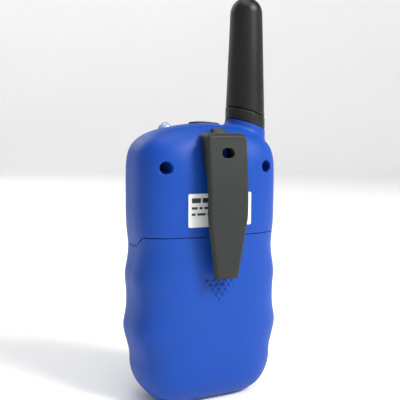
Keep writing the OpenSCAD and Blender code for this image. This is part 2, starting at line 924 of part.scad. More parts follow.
// A plain space that holds the body behind the clip, stepped to its curve
module body_clear() {
    along_x(-12, 12)
        polygon([[0, 80], [17.1, 80], [17.1, 86], [16.75, 90], [15.9, 95], [14.6, 98], [12.9, 101], [0, 101]]);
}

module clip_latch() {
    along_x(-2.5, 2.5)
        polygon([[14, 98.2], [12.95, 101.1], [13.2, 101.6], [14.5, 101.6], [16.4, 98.9], [16.4, 98.2]]);
}

rear_case();
battery_door();
front_case();
front_panel();
lcd_window();
lcd_module();
keypad_membrane();
key_up();
key_down();
key_menu();
key_call();
key_monitor();
ptt_button();
ptt_switch();
jack_cover();
jack_socket();
torch_led();
main_pcb();
rf_shield();
main_chip();
speaker_frame();
speaker_cone();
speaker_felt();
microphone();
microphone_boot();
battery_cells();
cell_springs();
cell_contacts();
case_screws();
pcb_screws();
antenna_sleeve();
antenna_collar();
antenna_coil();
antenna_former();
antenna_stud();
antenna_contact();
clip_base();
clip_arm();
label();
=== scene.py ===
"""Detailed look of a hand-held two-way radio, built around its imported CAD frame.

Shapes are worked out in millimetres in the frame's axes: the front faces -Y, the belt clip faces +Y
and Z is up. The body's skin follows the same formulas as its CAD source.
"""

import math

import bmesh
import bpy
import numpy as np
from mathutils import Matrix, Vector


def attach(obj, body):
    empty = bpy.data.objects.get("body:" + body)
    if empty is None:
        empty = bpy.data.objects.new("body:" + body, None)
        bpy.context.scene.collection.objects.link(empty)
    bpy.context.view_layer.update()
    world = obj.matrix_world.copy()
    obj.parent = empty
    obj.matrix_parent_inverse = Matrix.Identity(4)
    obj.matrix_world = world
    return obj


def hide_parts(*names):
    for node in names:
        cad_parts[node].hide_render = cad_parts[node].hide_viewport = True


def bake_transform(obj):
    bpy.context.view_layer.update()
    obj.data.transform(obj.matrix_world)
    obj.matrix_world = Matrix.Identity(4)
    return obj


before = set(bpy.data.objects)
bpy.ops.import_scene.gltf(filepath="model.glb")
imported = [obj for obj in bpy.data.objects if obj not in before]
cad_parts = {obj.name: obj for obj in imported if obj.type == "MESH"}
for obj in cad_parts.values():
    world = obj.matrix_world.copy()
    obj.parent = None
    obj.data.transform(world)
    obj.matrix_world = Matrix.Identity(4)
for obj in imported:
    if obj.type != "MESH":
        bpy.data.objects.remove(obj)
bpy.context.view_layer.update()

MM = 0.001

# Body: half width, height, depths, section exponent and the ends of its spine
HALF_W, HEIGHT, BACK, FRONT, POWER = 28.1, 103.6, 16.9, 16.2, 3.2
SPINE_LOW, SPINE_HIGH = 26.0, 78.0
WAVES = ((57.7, -0.9, 6.4), (47.0, 0.6, 4.3), (27.9, 1.3, 4.9), (17.0, -0.8, 4.2))
SHOULDER_Z, SHOULDER_PZ, SHOULDER_PX = 66.0, 9.2, 1.5
FOOT_Z, FOOT_SINK, FOOT_PZ, FOOT_PX = 24.2, 0.8, 2.4, 4.7
SPLIT_Y, GAP, CASE_WALL, DOOR_WALL = -9.0, 0.2, 2.2, 1.8
SEAM_BACK_Z, SEAM_SIDE_Z = 63.0, 59.0
EDGE_R = 0.25

# Places of the details
SCREWS = (20.1, 87.7)
SCREW_SEAT_Y, LOW_SEAT_Y, LOW_SCREWS = 4.5, 0.0, (10.75, 11.0)
ANTENNA_X, ANTENNA_Y, ANTENNA_R, ANTENNA_TIP_R, ANTENNA_TIP_Z = -18.5, 0.9, 7.6, 6.1, 151.0
COLLAR_Z, COLLAR_H, SLOPE, NECK_R = 103.2, 4.6, 0.3, 7.75
TORCH, TORCH_TOP_Z = (13.4, -3.0), 103.9
JACK, JACK_HALF_W, JACK_HALF_D = (-2.1, -1.6), 6.2, 3.3
PTT_Y, PTT_Z, PTT_HALF_D, PTT_HALF_H, PTT_CORNER, PTT_PROUD = -3.4, 75.0, 3.6, 9.0, 2.6, 0.9
LABEL_HALF_W, LABEL_LOW_Z, LABEL_HIGH_Z = 12.6, 66.7, 78.6
DOT_PITCH, DOT_Z, DOT_ROWS = 2.55, 40.1, 5
CLIP_FACE = ((99.4, 21.6), (89.0, 22.8), (80.0, 23.7), (72.0, 23.75), (48.3, 22.9))
CLIP_TOP_Z, CLIP_TIP_Z, CLIP_HALF_W, CLIP_TIP_HALF_W, CLIP_HOLE_Z = 99.7, 48.3, 8.05, 4.6, 92.9
CLIP_PLATE = 2.1
RAIL_Z = (89.2, 96.6)


# ---------- the body's outline and skin ----------


def wave(z):
    """How far the finger waves move the side outwards at a height."""
    return sum(a * np.exp(-(((z - z0) / s) ** 2)) for z0, a, s in WAVES)


def side_x(z):
    """Half width of the body at a height."""
    z = np.asarray(z, float)
    up = np.clip((z - SHOULDER_Z) / (HEIGHT - SHOULDER_Z), 0, 1)
    down = np.clip((FOOT_Z - z) / (FOOT_Z + FOOT_SINK), 0, 1)
    return (
        (HALF_W + wave(z))
        * (1 - up**SHOULDER_PZ) ** (1 / SHOULDER_PX)
        * (1 - down**FOOT_PZ) ** (1 / FOOT_PX)
    )


def top_z(x):
    """Height of the outline's crown over a place along X."""
    q = np.clip(np.abs(x) / HALF_W, 0, 1)
    return SHOULDER_Z + (HEIGHT - SHOULDER_Z) * (1 - q**SHOULDER_PX) ** (1 / SHOULDER_PZ)


def bottom_z(x):
    """Height of the outline's foot under a place along X."""
    q = np.clip(np.abs(x) / HALF_W, 0, 1)
    return FOOT_Z - (FOOT_Z + FOOT_SINK) * (1 - q**FOOT_PX) ** (1 / FOOT_PZ)


def half_outline():
    """Right half of the outline, from the middle of the bottom to the middle of the top."""
    low_x, high_x = side_x(3.0), side_x(98.0)
    foot = np.linspace(0, low_x, 80, endpoint=False)
    side = np.linspace(3, 98, 800)
    crown = np.linspace(high_x, 0, 260)[1:]
    x = np.concatenate([foot, side_x(side), crown])
    z = np.concatenate([bottom_z(foot), side, top_z(crown)])
    return x, z


OUT_X, OUT_Z = half_outline()
OUT_U = np.concatenate([[0], np.cumsum(np.hypot(np.diff(OUT_X), np.diff(OUT_Z)))])
HALF_LOOP = OUT_U[-1]
SIDE_RUN = (OUT_Z >= 3) & (OUT_Z <= 98)
CROWN_RUN = OUT_Z >= SPINE_HIGH
CROWN_ANGLE = np.arctan2(OUT_Z[CROWN_RUN] - SPINE_HIGH, OUT_X[CROWN_RUN])
CROWN_REACH = np.hypot(OUT_Z[CROWN_RUN] - SPINE_HIGH, OUT_X[CROWN_RUN])
FOOT_RUN = OUT_Z <= SPINE_LOW
FOOT_ANGLE = np.arctan2(SPINE_LOW - OUT_Z[FOOT_RUN], OUT_X[FOOT_RUN])[::-1]
FOOT_REACH = np.hypot(SPINE_LOW - OUT_Z[FOOT_RUN], OUT_X[FOOT_RUN])[::-1]


def outline_at(u):
    """Point of the outline at a run u from the middle of the bottom, rightwards; left is negative."""
    u = (np.asarray(u, float) + HALF_LOOP) % (2 * HALF_LOOP) - HALF_LOOP
    return np.sign(u) * np.interp(np.abs(u), OUT_U, OUT_X), np.interp(np.abs(u), OUT_U, OUT_Z)


def run_of_z(z):
    """Run along the outline, from the middle of the bottom, to a height on the side."""
    return np.interp(z, OUT_Z[SIDE_RUN], OUT_U[SIDE_RUN])


def skin_point(u, share, rise, inset=0.0):
    """Point of the skin: place u on the outline, share of the way out, rise as a share of the depth."""
    x, z = outline_at(u)
    axis = np.clip(z, SPINE_LOW, SPINE_HIGH)
    k = share * (1 - inset / np.hypot(x, z - axis))
    y = rise * (np.where(rise > 0, BACK, FRONT) - inset)
    floor = np.minimum(inset, 1.0)
    return np.stack(np.broadcast_arrays(x * k, y, np.maximum(axis + (z - axis) * k, floor)), -1)


def share_at(x, z):
    """How far out a point of the XZ plane lies, as a share of the outline."""
    x, z = np.abs(np.asarray(x, float)), np.asarray(z, float)
    side = x / side_x(np.clip(z, SPINE_LOW, SPINE_HIGH))
    up = np.hypot(x, z - SPINE_HIGH) / np.interp(
        np.arctan2(z - SPINE_HIGH, x), CROWN_ANGLE, CROWN_REACH
    )
    down = np.hypot(x, SPINE_LOW - z) / np.interp(
        np.arctan2(SPINE_LOW - z, x), FOOT_ANGLE, FOOT_REACH
    )
    return np.where(z > SPINE_HIGH, up, np.where(z < SPINE_LOW, down, side))


def section(share):
    """Share of the depth that is left at a share of the way out."""
    return np.clip(1 - np.clip(share, 0, 1) ** POWER, 0, 1) ** (1 / POWER)


def back_y(x, z):
    """Depth of the back's skin over a point of the XZ plane."""
    return BACK * section(share_at(x, z))


def front_y(x, z):
    """Depth of the front's skin over a point of the XZ plane."""
    return -FRONT * section(share_at(x, z))


def share_of_y(y):
    """How far out the skin is at a depth, as a share of the outline."""
    y = np.asarray(y, float)
    return section(np.abs(y) / np.where(y > 0, BACK, FRONT))


def crown_z(x, y):
    """Height of the crown over a point of the XY plane."""
    g = share_of_y(y)
    return SPINE_HIGH + g * (top_z(np.asarray(x) / g) - SPINE_HIGH)


def flank_x(y, z):
    """Half width of the body at a point of the YZ plane."""
    g = share_of_y(y)
    z = np.asarray(z, float)
    high = z > SPINE_HIGH
    return g * side_x(np.where(high, SPINE_HIGH + (z - SPINE_HIGH) / g, z))


def seam_z(y):
    """Height of the seam between the door and the rear case."""
    t = np.clip((np.asarray(y, float) - 2.2) / 7.6, 0, 1)
    return SEAM_SIDE_Z + (SEAM_BACK_Z - SEAM_SIDE_Z) * (1 - np.cos(np.pi * t)) / 2


# ---------- meshes ----------

# Points nearer than this are joined, in mm; edges sharper than this angle stay sharp
WELD, CREASE_DEG = 1e-4, 38


class Skin:
    """Points in millimetres and faces, gathered for one piece."""

    def __init__(self):
        self.points = []
        self.faces = []

    def add(self, points):
        points = np.asarray(points, float)
        start = len(self.points)
        self.points.extend(points.reshape(-1, 3).tolist())
        return np.arange(start, len(self.points)).reshape(points.shape[:-1])

    def grid(self, ids, skip=(), close=False, flip=False):
        """Quads over a grid of point numbers, without the windows in skip."""
        rows, cols = ids.shape
        for j in range(rows - 1):
            for i in range(cols if close else cols - 1):
                if any(j0 <= j < j1 and i0 <= i < i1 for j0, j1, i0, i1 in skip):
                    continue
                k = (i + 1) % cols
                face = (ids[j, i], ids[j, k], ids[j + 1, k], ids[j + 1, i])
                self.faces.append(face[::-1] if flip else face)

    def strip(self, a, b, close=True):
        """Quads between two rows of point numbers."""
        self.grid(np.stack([a, b]), close=close)

    def rings(self, first, rings, cap=True):
        """Joins the ring `first` to each further ring of points, and closes the last one."""
        last = first
        for ring in rings:
            now = self.add(ring)
            self.strip(last, now)
            last = now
        if cap:
            self.fan(last)
        return last

    def fan(self, loop):
        middle = self.add(np.mean([self.points[i] for i in loop], axis=0)[None])[0]
        for k in range(len(loop)):
            self.faces.append((loop[k], loop[(k + 1) % len(loop)], middle))

    def lathe(self, centre, profile, steps=64, shear=None):
        """A closed turned shape about Z from (radius, height) pairs; a zero radius closes an end."""
        turn = np.arange(steps) * 2 * np.pi / steps
        ring = [
            np.stack([centre[0] + r * np.cos(turn), centre[1] + r * np.sin(turn), np.full(steps, z)], -1)
            for r, z in profile
        ]
        if shear:
            ring = [shear(points) for points in ring]
        return self.rings(self.add(ring[0]), ring[1:])

    def stack(self, rings):
        """Joins rings of points one after another and closes both ends."""
        first = self.add(rings[0])
        self.rings(first, rings[1:])
        self.fan(first[::-1])

    def mesh(self, name):
        """The gathered faces as a mesh in metres, welded, with its faces turned outwards."""
        mesh = bpy.data.meshes.new(name)
        bm = bmesh.new()
        points = [bm.verts.new([c * MM for c in p]) for p in self.points]
        for face in self.faces:
            try:
                bm.faces.new([points[i] for i in face])
            except ValueError:
                continue
        bmesh.ops.remove_doubles(bm, verts=bm.verts, dist=WELD * MM)
        bmesh.ops.dissolve_degenerate(bm, edges=bm.edges, dist=WELD * MM)
        bmesh.ops.recalc_face_normals(bm, faces=bm.faces)
        bm.to_mesh(mesh)
        bm.free()
        return mesh

    def build(self, name, body, material, replaces=(), slot=None):
        """Makes the piece, riding on a body."""
        return finish_piece(name, self.mesh(name), body, material, replaces)

    def carve(self, tools, name, body, material, replaces=(), slot=None):
        """Makes the piece with the volumes of other skins cut out of it, one after the other."""
        mesh = self.mesh(name)
        for tool in tools:
            mesh = cut(mesh, tool.mesh("cutter"))
        return finish_piece(name, mesh, body, material, replaces)


def finish_piece(name, mesh, body, material, replaces=()):
    """Makes a mesh a piece of the model, with smooth faces and sharp creases."""
    mesh.shade_smooth()
    mesh.set_sharp_from_angle(angle=math.radians(CREASE_DEG))
    mesh.materials.clear()
    mesh.materials.append(material)
    piece = bpy.data.objects.new(name, mesh)
    bpy.context.scene.collection.objects.link(piece)
    if body:
        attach(piece, body)
    if replaces:
        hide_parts(*replaces)
    return piece


def rounded_ray(angle, half_a, half_b, corner):
    """Distance from the middle of a rounded rectangle to its edge, at an angle."""
    c, s = np.abs(np.cos(angle)), np.abs(np.sin(angle))
    to_side = half_a / np.maximum(c, 1e-9)
    to_top = half_b / np.maximum(s, 1e-9)
    ca, cb = half_a - corner, half_b - corner
    along = c * ca + s * cb
    to_corner = along + np.sqrt(np.maximum(along**2 - ca**2 - cb**2 + corner**2, 0))
    on_side = to_side * s <= cb + 1e-9
    on_top = to_top * c <= ca + 1e-9
    return np.where(on_side, to_side, np.where(on_top, to_top, to_corner))


class Opening:
    """A rounded opening on the skin, seen along one axis: 0 for X, 1 for Y, 2 for Z.

    height gives the skin's distance along the axis, on the side that sign says. Each of rings is
    (grow, depth, level, shape): the opening's edge moved outwards, a depth under the skin or a level,
    and a (half, half, corner) of its own where the shape changes. boss is the (grow, depth, level)
    of the closed sleeve that surrounds the opening inside the case.
    """

    def __init__(self, centre, half, axis, height, rings, boss=None, sign=1, margin=0.8, steps=5):
        self.centre, self.half = np.array(centre, float), half
        self.axis, self.height, self.sign = axis, height, sign
        self.rings, self.boss, self.margin, self.steps = rings, boss, margin, steps
        self.plane = [k for k in range(3) if k != axis]

    def flat(self, points):
        return np.asarray(points)[..., self.plane]

    def angle(self, flat):
        return np.arctan2(flat[..., 1] - self.centre[1], flat[..., 0] - self.centre[0])

    def edge(self, angle, grow, shape=None):
        a, b, corner = shape or self.half
        reach = rounded_ray(angle, a + grow, b + grow, max(corner + grow, 0.02))
        return self.centre + reach[..., None] * np.stack([np.cos(angle), np.sin(angle)], -1)

    def lift(self, flat, depth=0.0, level=None):
        """Puts flat points on the skin less a depth, or at a level."""
        out = np.zeros(flat.shape[:-1] + (3,))
        out[..., self.plane] = flat
        if level is None:
            level = self.sign * (self.height(flat[..., 0], flat[..., 1]) - depth)
        out[..., self.axis] = level
        return out

    def clear(self, points):
        flat = self.flat(points)
        reach = rounded_ray(self.angle(flat), *self.half)
        return (np.hypot(*(flat - self.centre).T) > reach + self.margin).all()

    def window(self, grid):
        """The smallest window of a grid of points that holds the opening with its margin."""
        middle = self.lift(self.centre[None])[0]
        gap = np.linalg.norm(grid - middle, axis=-1)
        j, i = np.unravel_index(np.argmin(gap), gap.shape)
        j0, j1, i0, i1 = j - 1, j + 1, i - 1, i + 1
        while True:
            before = (j0, j1, i0, i1)
            j0 -= not self.clear(grid[j0, i0 : i1 + 1])
            j1 += not self.clear(grid[j1, i0 : i1 + 1])
            i0 -= not self.clear(grid[j0 : j1 + 1, i0])
            i1 += not self.clear(grid[j0 : j1 + 1, i1])
            if before == (j0, j1, i0, i1):
                return before

    def around(self, skin, ids, window):
        """The loop of point numbers along a window's sides, and where they lie."""
        j0, j1, i0, i1 = window
        sides = [ids[j0, i0:i1], ids[j0:j1, i1], ids[j1, i1:i0:-1], ids[j1:j0:-1, i0]]
        loop = np.concatenate(sides)
        return loop, self.flat(np.array([skin.points[k] for k in loop]))

    def fill(self, skin, ids, window):
        """Fills the window with skin around the opening, then with the opening's own rings."""
        loop, flat = self.around(skin, ids, window)
        angle = self.angle(flat)
        mouth = self.edge(angle, self.rings[0][0])
        made = [self.lift(flat + (mouth - flat) * t) for t in np.arange(1, self.steps) / self.steps]
        for grow, depth, level, *shape in self.rings:
            made.append(self.lift(self.edge(angle, grow, *shape), depth, level))
        skin.rings(loop, made)

    def fill_inside(self, skin, ids, window, wall):
        """Closes the window in the inner skin with the sleeve."""
        loop, flat = self.around(skin, ids, window)
        grow, depth, level = self.boss
        sleeve = self.edge(self.angle(flat), grow)
        skin.rings(loop, [self.lift(sleeve, wall + 0.3), self.lift(sleeve, depth, level)])


def rounded_mouth(r, steps=4):
    """Rings of a rounded edge, from flush with the skin to straight down its wall."""
    turn = np.linspace(0, np.pi / 2, steps + 1)
    return [(r * (1 - math.sin(t)), r * (1 - math.cos(t)), None) for t in turn]


RIM_STEPS = np.array([0, 0.05, 0.12, 0.19, EDGE_R, 0.55, 1.0])


def rim_drop(*distances):
    """How far the skin falls away beside its edges, as a quarter round."""
    near = sum(np.clip(EDGE_R - d, 0, EDGE_R) ** 2 for d in distances)
    return EDGE_R - np.sqrt(np.maximum(EDGE_R**2 - near, 0))


def section_rows(y_start, sign, spacing):
    """Share and rise of each row of skin, from the split at y_start to the spine."""
    turn = np.linspace(0, np.pi / 2, 4000)
    share, rise = np.cos(turn) ** (2 / POWER), np.sin(turn) ** (2 / POWER)
    if sign > 0:
        start = turn[np.searchsorted(rise * FRONT, -y_start)]
        ahead = np.linspace(start, 0, 600, endpoint=False)
        share = np.concatenate([np.cos(ahead) ** (2 / POWER), share])
        rise = np.concatenate([-np.sin(ahead) ** (2 / POWER), rise])
        share[0], rise[0] = share_of_y(y_start), y_start / FRONT
    else:
        keep = rise * FRONT > -y_start
        share, rise = share[keep], -rise[keep]
        share[0], rise[0] = share_of_y(y_start), y_start / FRONT
    depth = np.where(rise > 0, BACK, FRONT)
    run = np.concatenate([[0], np.cumsum(np.hypot(np.diff(share * HALF_W), np.diff(rise * depth)))])
    rest = np.linspace(1.0, run[-1], int((run[-1] - 1.0) / spacing) + 1)[1:]
    place = np.concatenate([RIM_STEPS, rest])
    share, rise = np.interp(place, run, share), np.interp(place, run, rise)
    share[-1], rise[-1] = 0.0, math.copysign(1.0, rise[-1])
    return place, share, rise


def shell(skin, u, rim, share, rise, wall, openings=(), close=False):
    """A closed shell: outer skin with rounded rims and openings, inner skin, and the rims between."""
    outer = skin_point(u, share[:, None], rise[:, None], rim_drop(*rim))
    inner = skin_point(u, share[:, None], rise[:, None], wall)
    out_ids, in_ids = skin.add(outer), skin.add(inner)
    windows = [o.window(outer) for o in openings]
    wider = [(j0 - 1, j1 + 2, i0 - 2, i1 + 2) for j0, j1, i0, i1 in windows]
    skin.grid(out_ids, skip=windows, close=close)
    skin.grid(in_ids, skip=wider, close=close, flip=True)
    skin.strip(in_ids[0], out_ids[0], close=close)
    if not close:
        skin.strip(out_ids[:, 0], in_ids[:, 0], close=False)
        skin.strip(in_ids[:, -1], out_ids[:, -1], close=False)
    for opening, window, inside in zip(openings, windows, wider):
        opening.fill(skin, out_ids, window)
        opening.fill_inside(skin, in_ids, inside, wall)


def half_columns(edge, middle, count):
    """Runs from an edge to a middle, both included, close together beside the edge."""
    near = edge + np.sign(middle - edge) * RIM_STEPS
    return np.concatenate([near, np.linspace(near[-1], middle, count + 1)[1:]])


def half_shell(edge_z, middle, wall, count, openings=()):
    """The back half of the body from an edge to a middle: the outline's run at its top or bottom."""
    place, share, rise = section_rows(SPLIT_Y + GAP / 2, 1, 0.85)
    y = rise * np.where(rise > 0, BACK, FRONT)
    edges = run_of_z(edge_z(y))
    right = np.array([half_columns(e, middle, count) for e in edges])
    u = np.concatenate([right, 2 * middle - right[:, -2::-1]], axis=1)
    beside = np.minimum(np.abs(u - edges[:, None]), np.abs(u - 2 * middle + edges[:, None]))
    skin = Skin()
    shell(skin, u, (place[:, None], beside), share, rise, wall, openings)
    return skin


def rounded_outline(half_a, half_b, corner, per_corner=7, along=(0, 0)):
    """Points of a rounded rectangle about the origin, with extra points along its sides."""
    arcs = []
    for k, (sa, sb) in enumerate(((1, 1), (-1, 1), (-1, -1), (1, -1))):
        turn = (k + np.linspace(0, 1, per_corner)) * np.pi / 2
        middle = np.array([sa * (half_a - corner), sb * (half_b - corner)])
        arcs.append(middle + corner * np.stack([np.cos(turn), np.sin(turn)], -1))
    points = []
    for k, arc in enumerate(arcs):
        start, end = arc[-1], arcs[(k + 1) % 4][0]
        share = np.arange(1, along[k % 2] + 1) / (along[k % 2] + 1)
        points += [arc, start + (end - start) * share[:, None]]
    return np.concatenate(points)


def placed(flat, axis, level):
    """Flat points put at a level along an axis."""
    out = np.zeros((len(flat), 3))
    out[:, [k for k in range(3) if k != axis]] = flat
    out[:, axis] = level
    return out


def block(skin, centre, half, axis, low, high, r=0.2, crown=0.0, steps=3):
    """A rounded block: a rounded rectangle (half, half, corner) drawn along an axis, edges rounded."""
    a, b, corner = half
    turn = np.linspace(0, np.pi / 2, steps + 1)
    ends = [(-r * (1 - math.sin(t)), r * (1 - math.cos(t))) for t in turn]
    levels = [(g, low + d) for g, d in ends] + [(g, high - d) for g, d in ends[::-1]]
    rings = []
    for grow, level in levels:
        flat = rounded_outline(a + grow, b + grow, max(corner + grow, 0.03))
        rings.append(placed(flat + centre, axis, level))
    if crown:
        for share in (0.8, 0.55, 0.3):
            g = -r
            flat = rounded_outline(a + g, b + g, max(corner + g, 0.03)) * share
            rings.append(placed(flat + centre, axis, high + crown * (1 - share**2)))
    skin.stack(rings)


def cut(mesh, cutter):
    """The mesh less a cutter's closed volume."""
    piece = bpy.data.objects.new("cut_piece", mesh)
    tool = bpy.data.objects.new("cut_tool", cutter)
    for o in (piece, tool):
        bpy.context.scene.collection.objects.link(o)
    modifier = piece.modifiers.new("cut", "BOOLEAN")
    modifier.operation, modifier.solver, modifier.object = "DIFFERENCE", "EXACT", tool
    bpy.context.view_layer.update()
    shaped = bpy.data.meshes.new_from_object(
        piece.evaluated_get(bpy.context.evaluated_depsgraph_get())
    )
    for o in (piece, tool):
        bpy.data.objects.remove(o)
    return shaped


# ---------- materials ----------


def linear(red, green, blue):
    """A colour as the shader takes it, from the 0 to 255 scale of a screen."""
    def one(c):
        c /= 255
        return c / 12.92 if c <= 0.04045 else ((c + 0.055) / 1.055) ** 2.4

    return (one(red), one(green), one(blue))


class Shader:
    """A node tree around one Principled shader, with coordinates that ride with the piece."""

    def __init__(self, name, **fixed):
        self.material = bpy.data.materials.new(name)
        self.material.use_nodes = True
        self.tree = self.material.node_tree
        self.surface = self.tree.nodes["Principled BSDF"]
        for socket, value in fixed.items():
            self.surface.inputs[socket.replace("_", " ")].default_value = value
        self.place = self.node("ShaderNodeTexCoord").outputs["Object"]

    def node(self, kind, inputs=None, **settings):
        node = self.tree.nodes.new(kind)
        for name, value in settings.items():
            setattr(node, name, value)
        for socket, value in (inputs or {}).items():
            if isinstance(value, bpy.types.NodeSocket):
                self.tree.links.new(value, node.inputs[socket])
            else:
                node.inputs[socket].default_value = value
        return node

    def set(self, socket, value):
        self.tree.links.new(value, self.surface.inputs[socket])

    def noise(self, size_mm, detail=3.0, rough=0.55, stretch=None):
        """Noise of about this size, from 0 to 1."""
        place = self.place
        if stretch:
            place = self.node(
                "ShaderNodeVectorMath", {0: place, 1: stretch}, operation="MULTIPLY"
            ).outputs[0]
        inputs = {"Vector": place, "Scale": 1000 / size_mm, "Detail": detail, "Roughness": rough}
        return self.node("ShaderNodeTexNoise", inputs).outputs[0]

    def span(self, value, low, high, to_low=0.0, to_high=1.0):
        names = ("Value", "From Min", "From Max", "To Min", "To Max")
        inputs = dict(zip(names, (value, low, high, to_low, to_high)))
        return self.node("ShaderNodeMapRange", inputs).outputs[0]

    def blend(self, share, first, second):
        def full(c):
            return c if isinstance(c, bpy.types.NodeSocket) else (*c, 1.0)

        inputs = {0: share, 6: full(first), 7: full(second)}
        return self.node("ShaderNodeMix", inputs, data_type="RGBA").outputs[2]

    def maths(self, operation, *values):
        return self.node(
            "ShaderNodeMath", dict(enumerate(values)), operation=operation, use_clamp=False
        ).outputs[0]

    def edges(self, radius_mm):
        """How strongly the surface turns at a point, from 0 on a face to 1 on an edge."""
        soft = self.node("ShaderNodeBevel", {"Radius": radius_mm * MM}, samples=4).outputs[0]
        plain = self.node("ShaderNodeNewGeometry").outputs["Normal"]
        along = self.node("ShaderNodeVectorMath", {0: soft, 1: plain}, operation="DOT_PRODUCT")
        return self.span(along.outputs["Value"], 0.995, 0.8)

    def bump(self, height, depth_mm, strength=1.0, under=None):
        inputs = {"Height": height, "Distance": depth_mm * MM, "Strength": strength}
        if under is not None:
            inputs["Normal"] = under
        return self.node("ShaderNodeBump", inputs).outputs[0]


def moulded(name, colour, rough, vary=0.05, grain_mm=0.35, grain_depth=0.012, wear=0.25,
            worn=None, edge_mm=0.3, smudge=0.05, **fixed):
    """Moulded plastic or rubber: faint mottling, fine spark texture, handling marks and worn edges."""
    s = Shader(name, **fixed)
    dark = [c * (1 - vary) for c in colour]
    light = [min(1.0, c * (1 + vary)) for c in colour]
    base = s.blend(s.noise(22.0, 4.0), dark, light)
    specks = s.span(s.noise(0.9, 2.0), 0.30, 0.42, 1.0, 0.0)
    base = s.blend(s.maths("MULTIPLY", specks, 0.10), base, [c * 0.6 for c in colour])
    marks = s.span(s.noise(7.0, 6.0, 0.7, (1.0, 1.0, 0.35)), 0.55, 0.72)
    finish = s.span(s.noise(14.0, 5.0), 0.3, 0.7, rough - smudge, rough + smudge)
    finish = s.maths("ADD", finish, s.maths("MULTIPLY", marks, smudge * 0.8))
    if wear:
        rubbed = s.maths("MULTIPLY", s.edges(edge_mm), s.span(s.noise(2.5, 5.0), 0.35, 0.65))
        rubbed = s.maths("MULTIPLY", rubbed, wear)
        base = s.blend(rubbed, base, worn or [min(1.0, c * 1.5 + 0.03) for c in colour])
        finish = s.maths("ADD", finish, s.maths("MULTIPLY", rubbed, 0.12))
    s.set("Base Color", base)
    s.set("Roughness", finish)
    grain = s.bump(s.noise(grain_mm, 2.0, 0.6), grain_depth)
    waves = s.bump(s.noise(9.0, 2.0), 0.02, under=grain)
    s.set("Normal", waves)
    return s.material


def metal(name, colour, rough, brush=(1.0, 1.0, 18.0), tarnish=0.12, **fixed):
    """Metal with fine drawn lines, dull patches and bright edges."""
    s = Shader(name, Metallic=1.0, **fixed)
    lines = s.noise(1.6, 4.0, 0.6, brush)
    patches = s.span(s.noise(3.5, 5.0), 0.42, 0.7)
    base = s.blend(lines, [c * 0.9 for c in colour], [min(1.0, c * 1.06) for c in colour])
    base = s.blend(s.maths("MULTIPLY", patches, tarnish), base, [c * 0.45 for c in colour])
    base = s.blend(s.maths("MULTIPLY", s.edges(0.12), 0.4), base, [min(1.0, c * 1.25) for c in colour])
    s.set("Base Color", base)
    s.set("Roughness", s.span(s.maths("ADD", lines, patches), 0.4, 1.4, rough * 0.8, rough * 1.3))
    s.set("Normal", s.bump(lines, 0.004))
    return s.material


def clear(name, colour, rough, ior, depth_mm=0.01, milk=0.0):
    """Clear plastic, faintly scratched and cloudy in places; milk makes it paler and less clear."""
    s = Shader(name, Transmission_Weight=1.0 - milk, IOR=ior)
    scratches = s.noise(0.5, 3.0, 0.6, (6.0, 1.0, 0.5))
    s.set("Base Color", s.blend(s.noise(3.0, 3.0), [c * 0.96 for c in colour], colour))
    s.set("Roughness", s.span(scratches, 0.35, 0.75, rough, rough + 0.06))
    s.set("Normal", s.bump(s.noise(2.2, 2.0), depth_mm))
    return s.material


def laminate(name, colour, trace):
    """Circuit board: solder mask over a woven glass weave and faint copper tracks."""
    s = Shader(name, Coat_Weight=0.4, Coat_Roughness=0.15)
    weave = s.node("ShaderNodeTexBrick", {
        "Vector": s.place, "Scale": 900.0, "Mortar Size": 0.03, "Brick Width": 1.0, "Row Height": 1.0,
    }).outputs["Fac"]
    tracks = s.node("ShaderNodeTexVoronoi", {"Vector": s.place, "Scale": 330.0},
                    feature="DISTANCE_TO_EDGE", distance="MANHATTAN").outputs["Distance"]
    lines = s.span(tracks, 0.06, 0.09, 1.0, 0.0)
    base = s.blend(s.noise(8.0), [c * 0.9 for c in colour], [c * 1.12 for c in colour])
    base = s.blend(s.maths("MULTIPLY", lines, 0.7), base, trace)
    s.set("Base Color", base)
    s.set("Roughness", s.span(s.noise(2.0), 0.3, 0.7, 0.32, 0.45))
    s.set("Normal", s.bump(lines, 0.02, under=s.bump(weave, 0.004)))
    return s.material


def printed_film(name, colour, ink, spacing_mm):
    """Paper-like film with a dull face and the faint fibre of its backing."""
    s = Shader(name)
    fibre = s.noise(0.5, 5.0, 0.65, (1.0, 1.0, 3.0))
    base = s.blend(fibre, [c * 0.95 for c in colour], colour)
    stains = s.span(s.noise(spacing_mm, 4.0), 0.6, 0.8)
    base = s.blend(s.maths("MULTIPLY", stains, 0.06), base, ink)
    base = s.blend(s.maths("MULTIPLY", s.edges(0.25), 0.25), base, ink)
    s.set("Base Color", base)
    s.set("Roughness", s.span(fibre, 0.3, 0.7, 0.38, 0.5))
    s.set("Normal", s.bump(fibre, 0.004))
    return s.material


def fibre(name, colour, strand_mm):
    """Pressed paper or felt: short strands in all directions, very rough."""
    s = Shader(name, Sheen_Weight=0.3, Sheen_Roughness=0.6)
    strands = s.noise(strand_mm, 8.0, 0.75)
    s.set("Base Color", s.blend(strands, [c * 0.65 for c in colour], [c * 1.25 for c in colour]))
    s.set("Roughness", s.span(strands, 0.3, 0.7, 0.85, 0.97))
    s.set("Normal", s.bump(strands, 0.05))
    return s.material


BLUE = linear(6, 62, 150)
CHARCOAL = linear(36, 38, 37)
BLACK = linear(11, 11, 12)

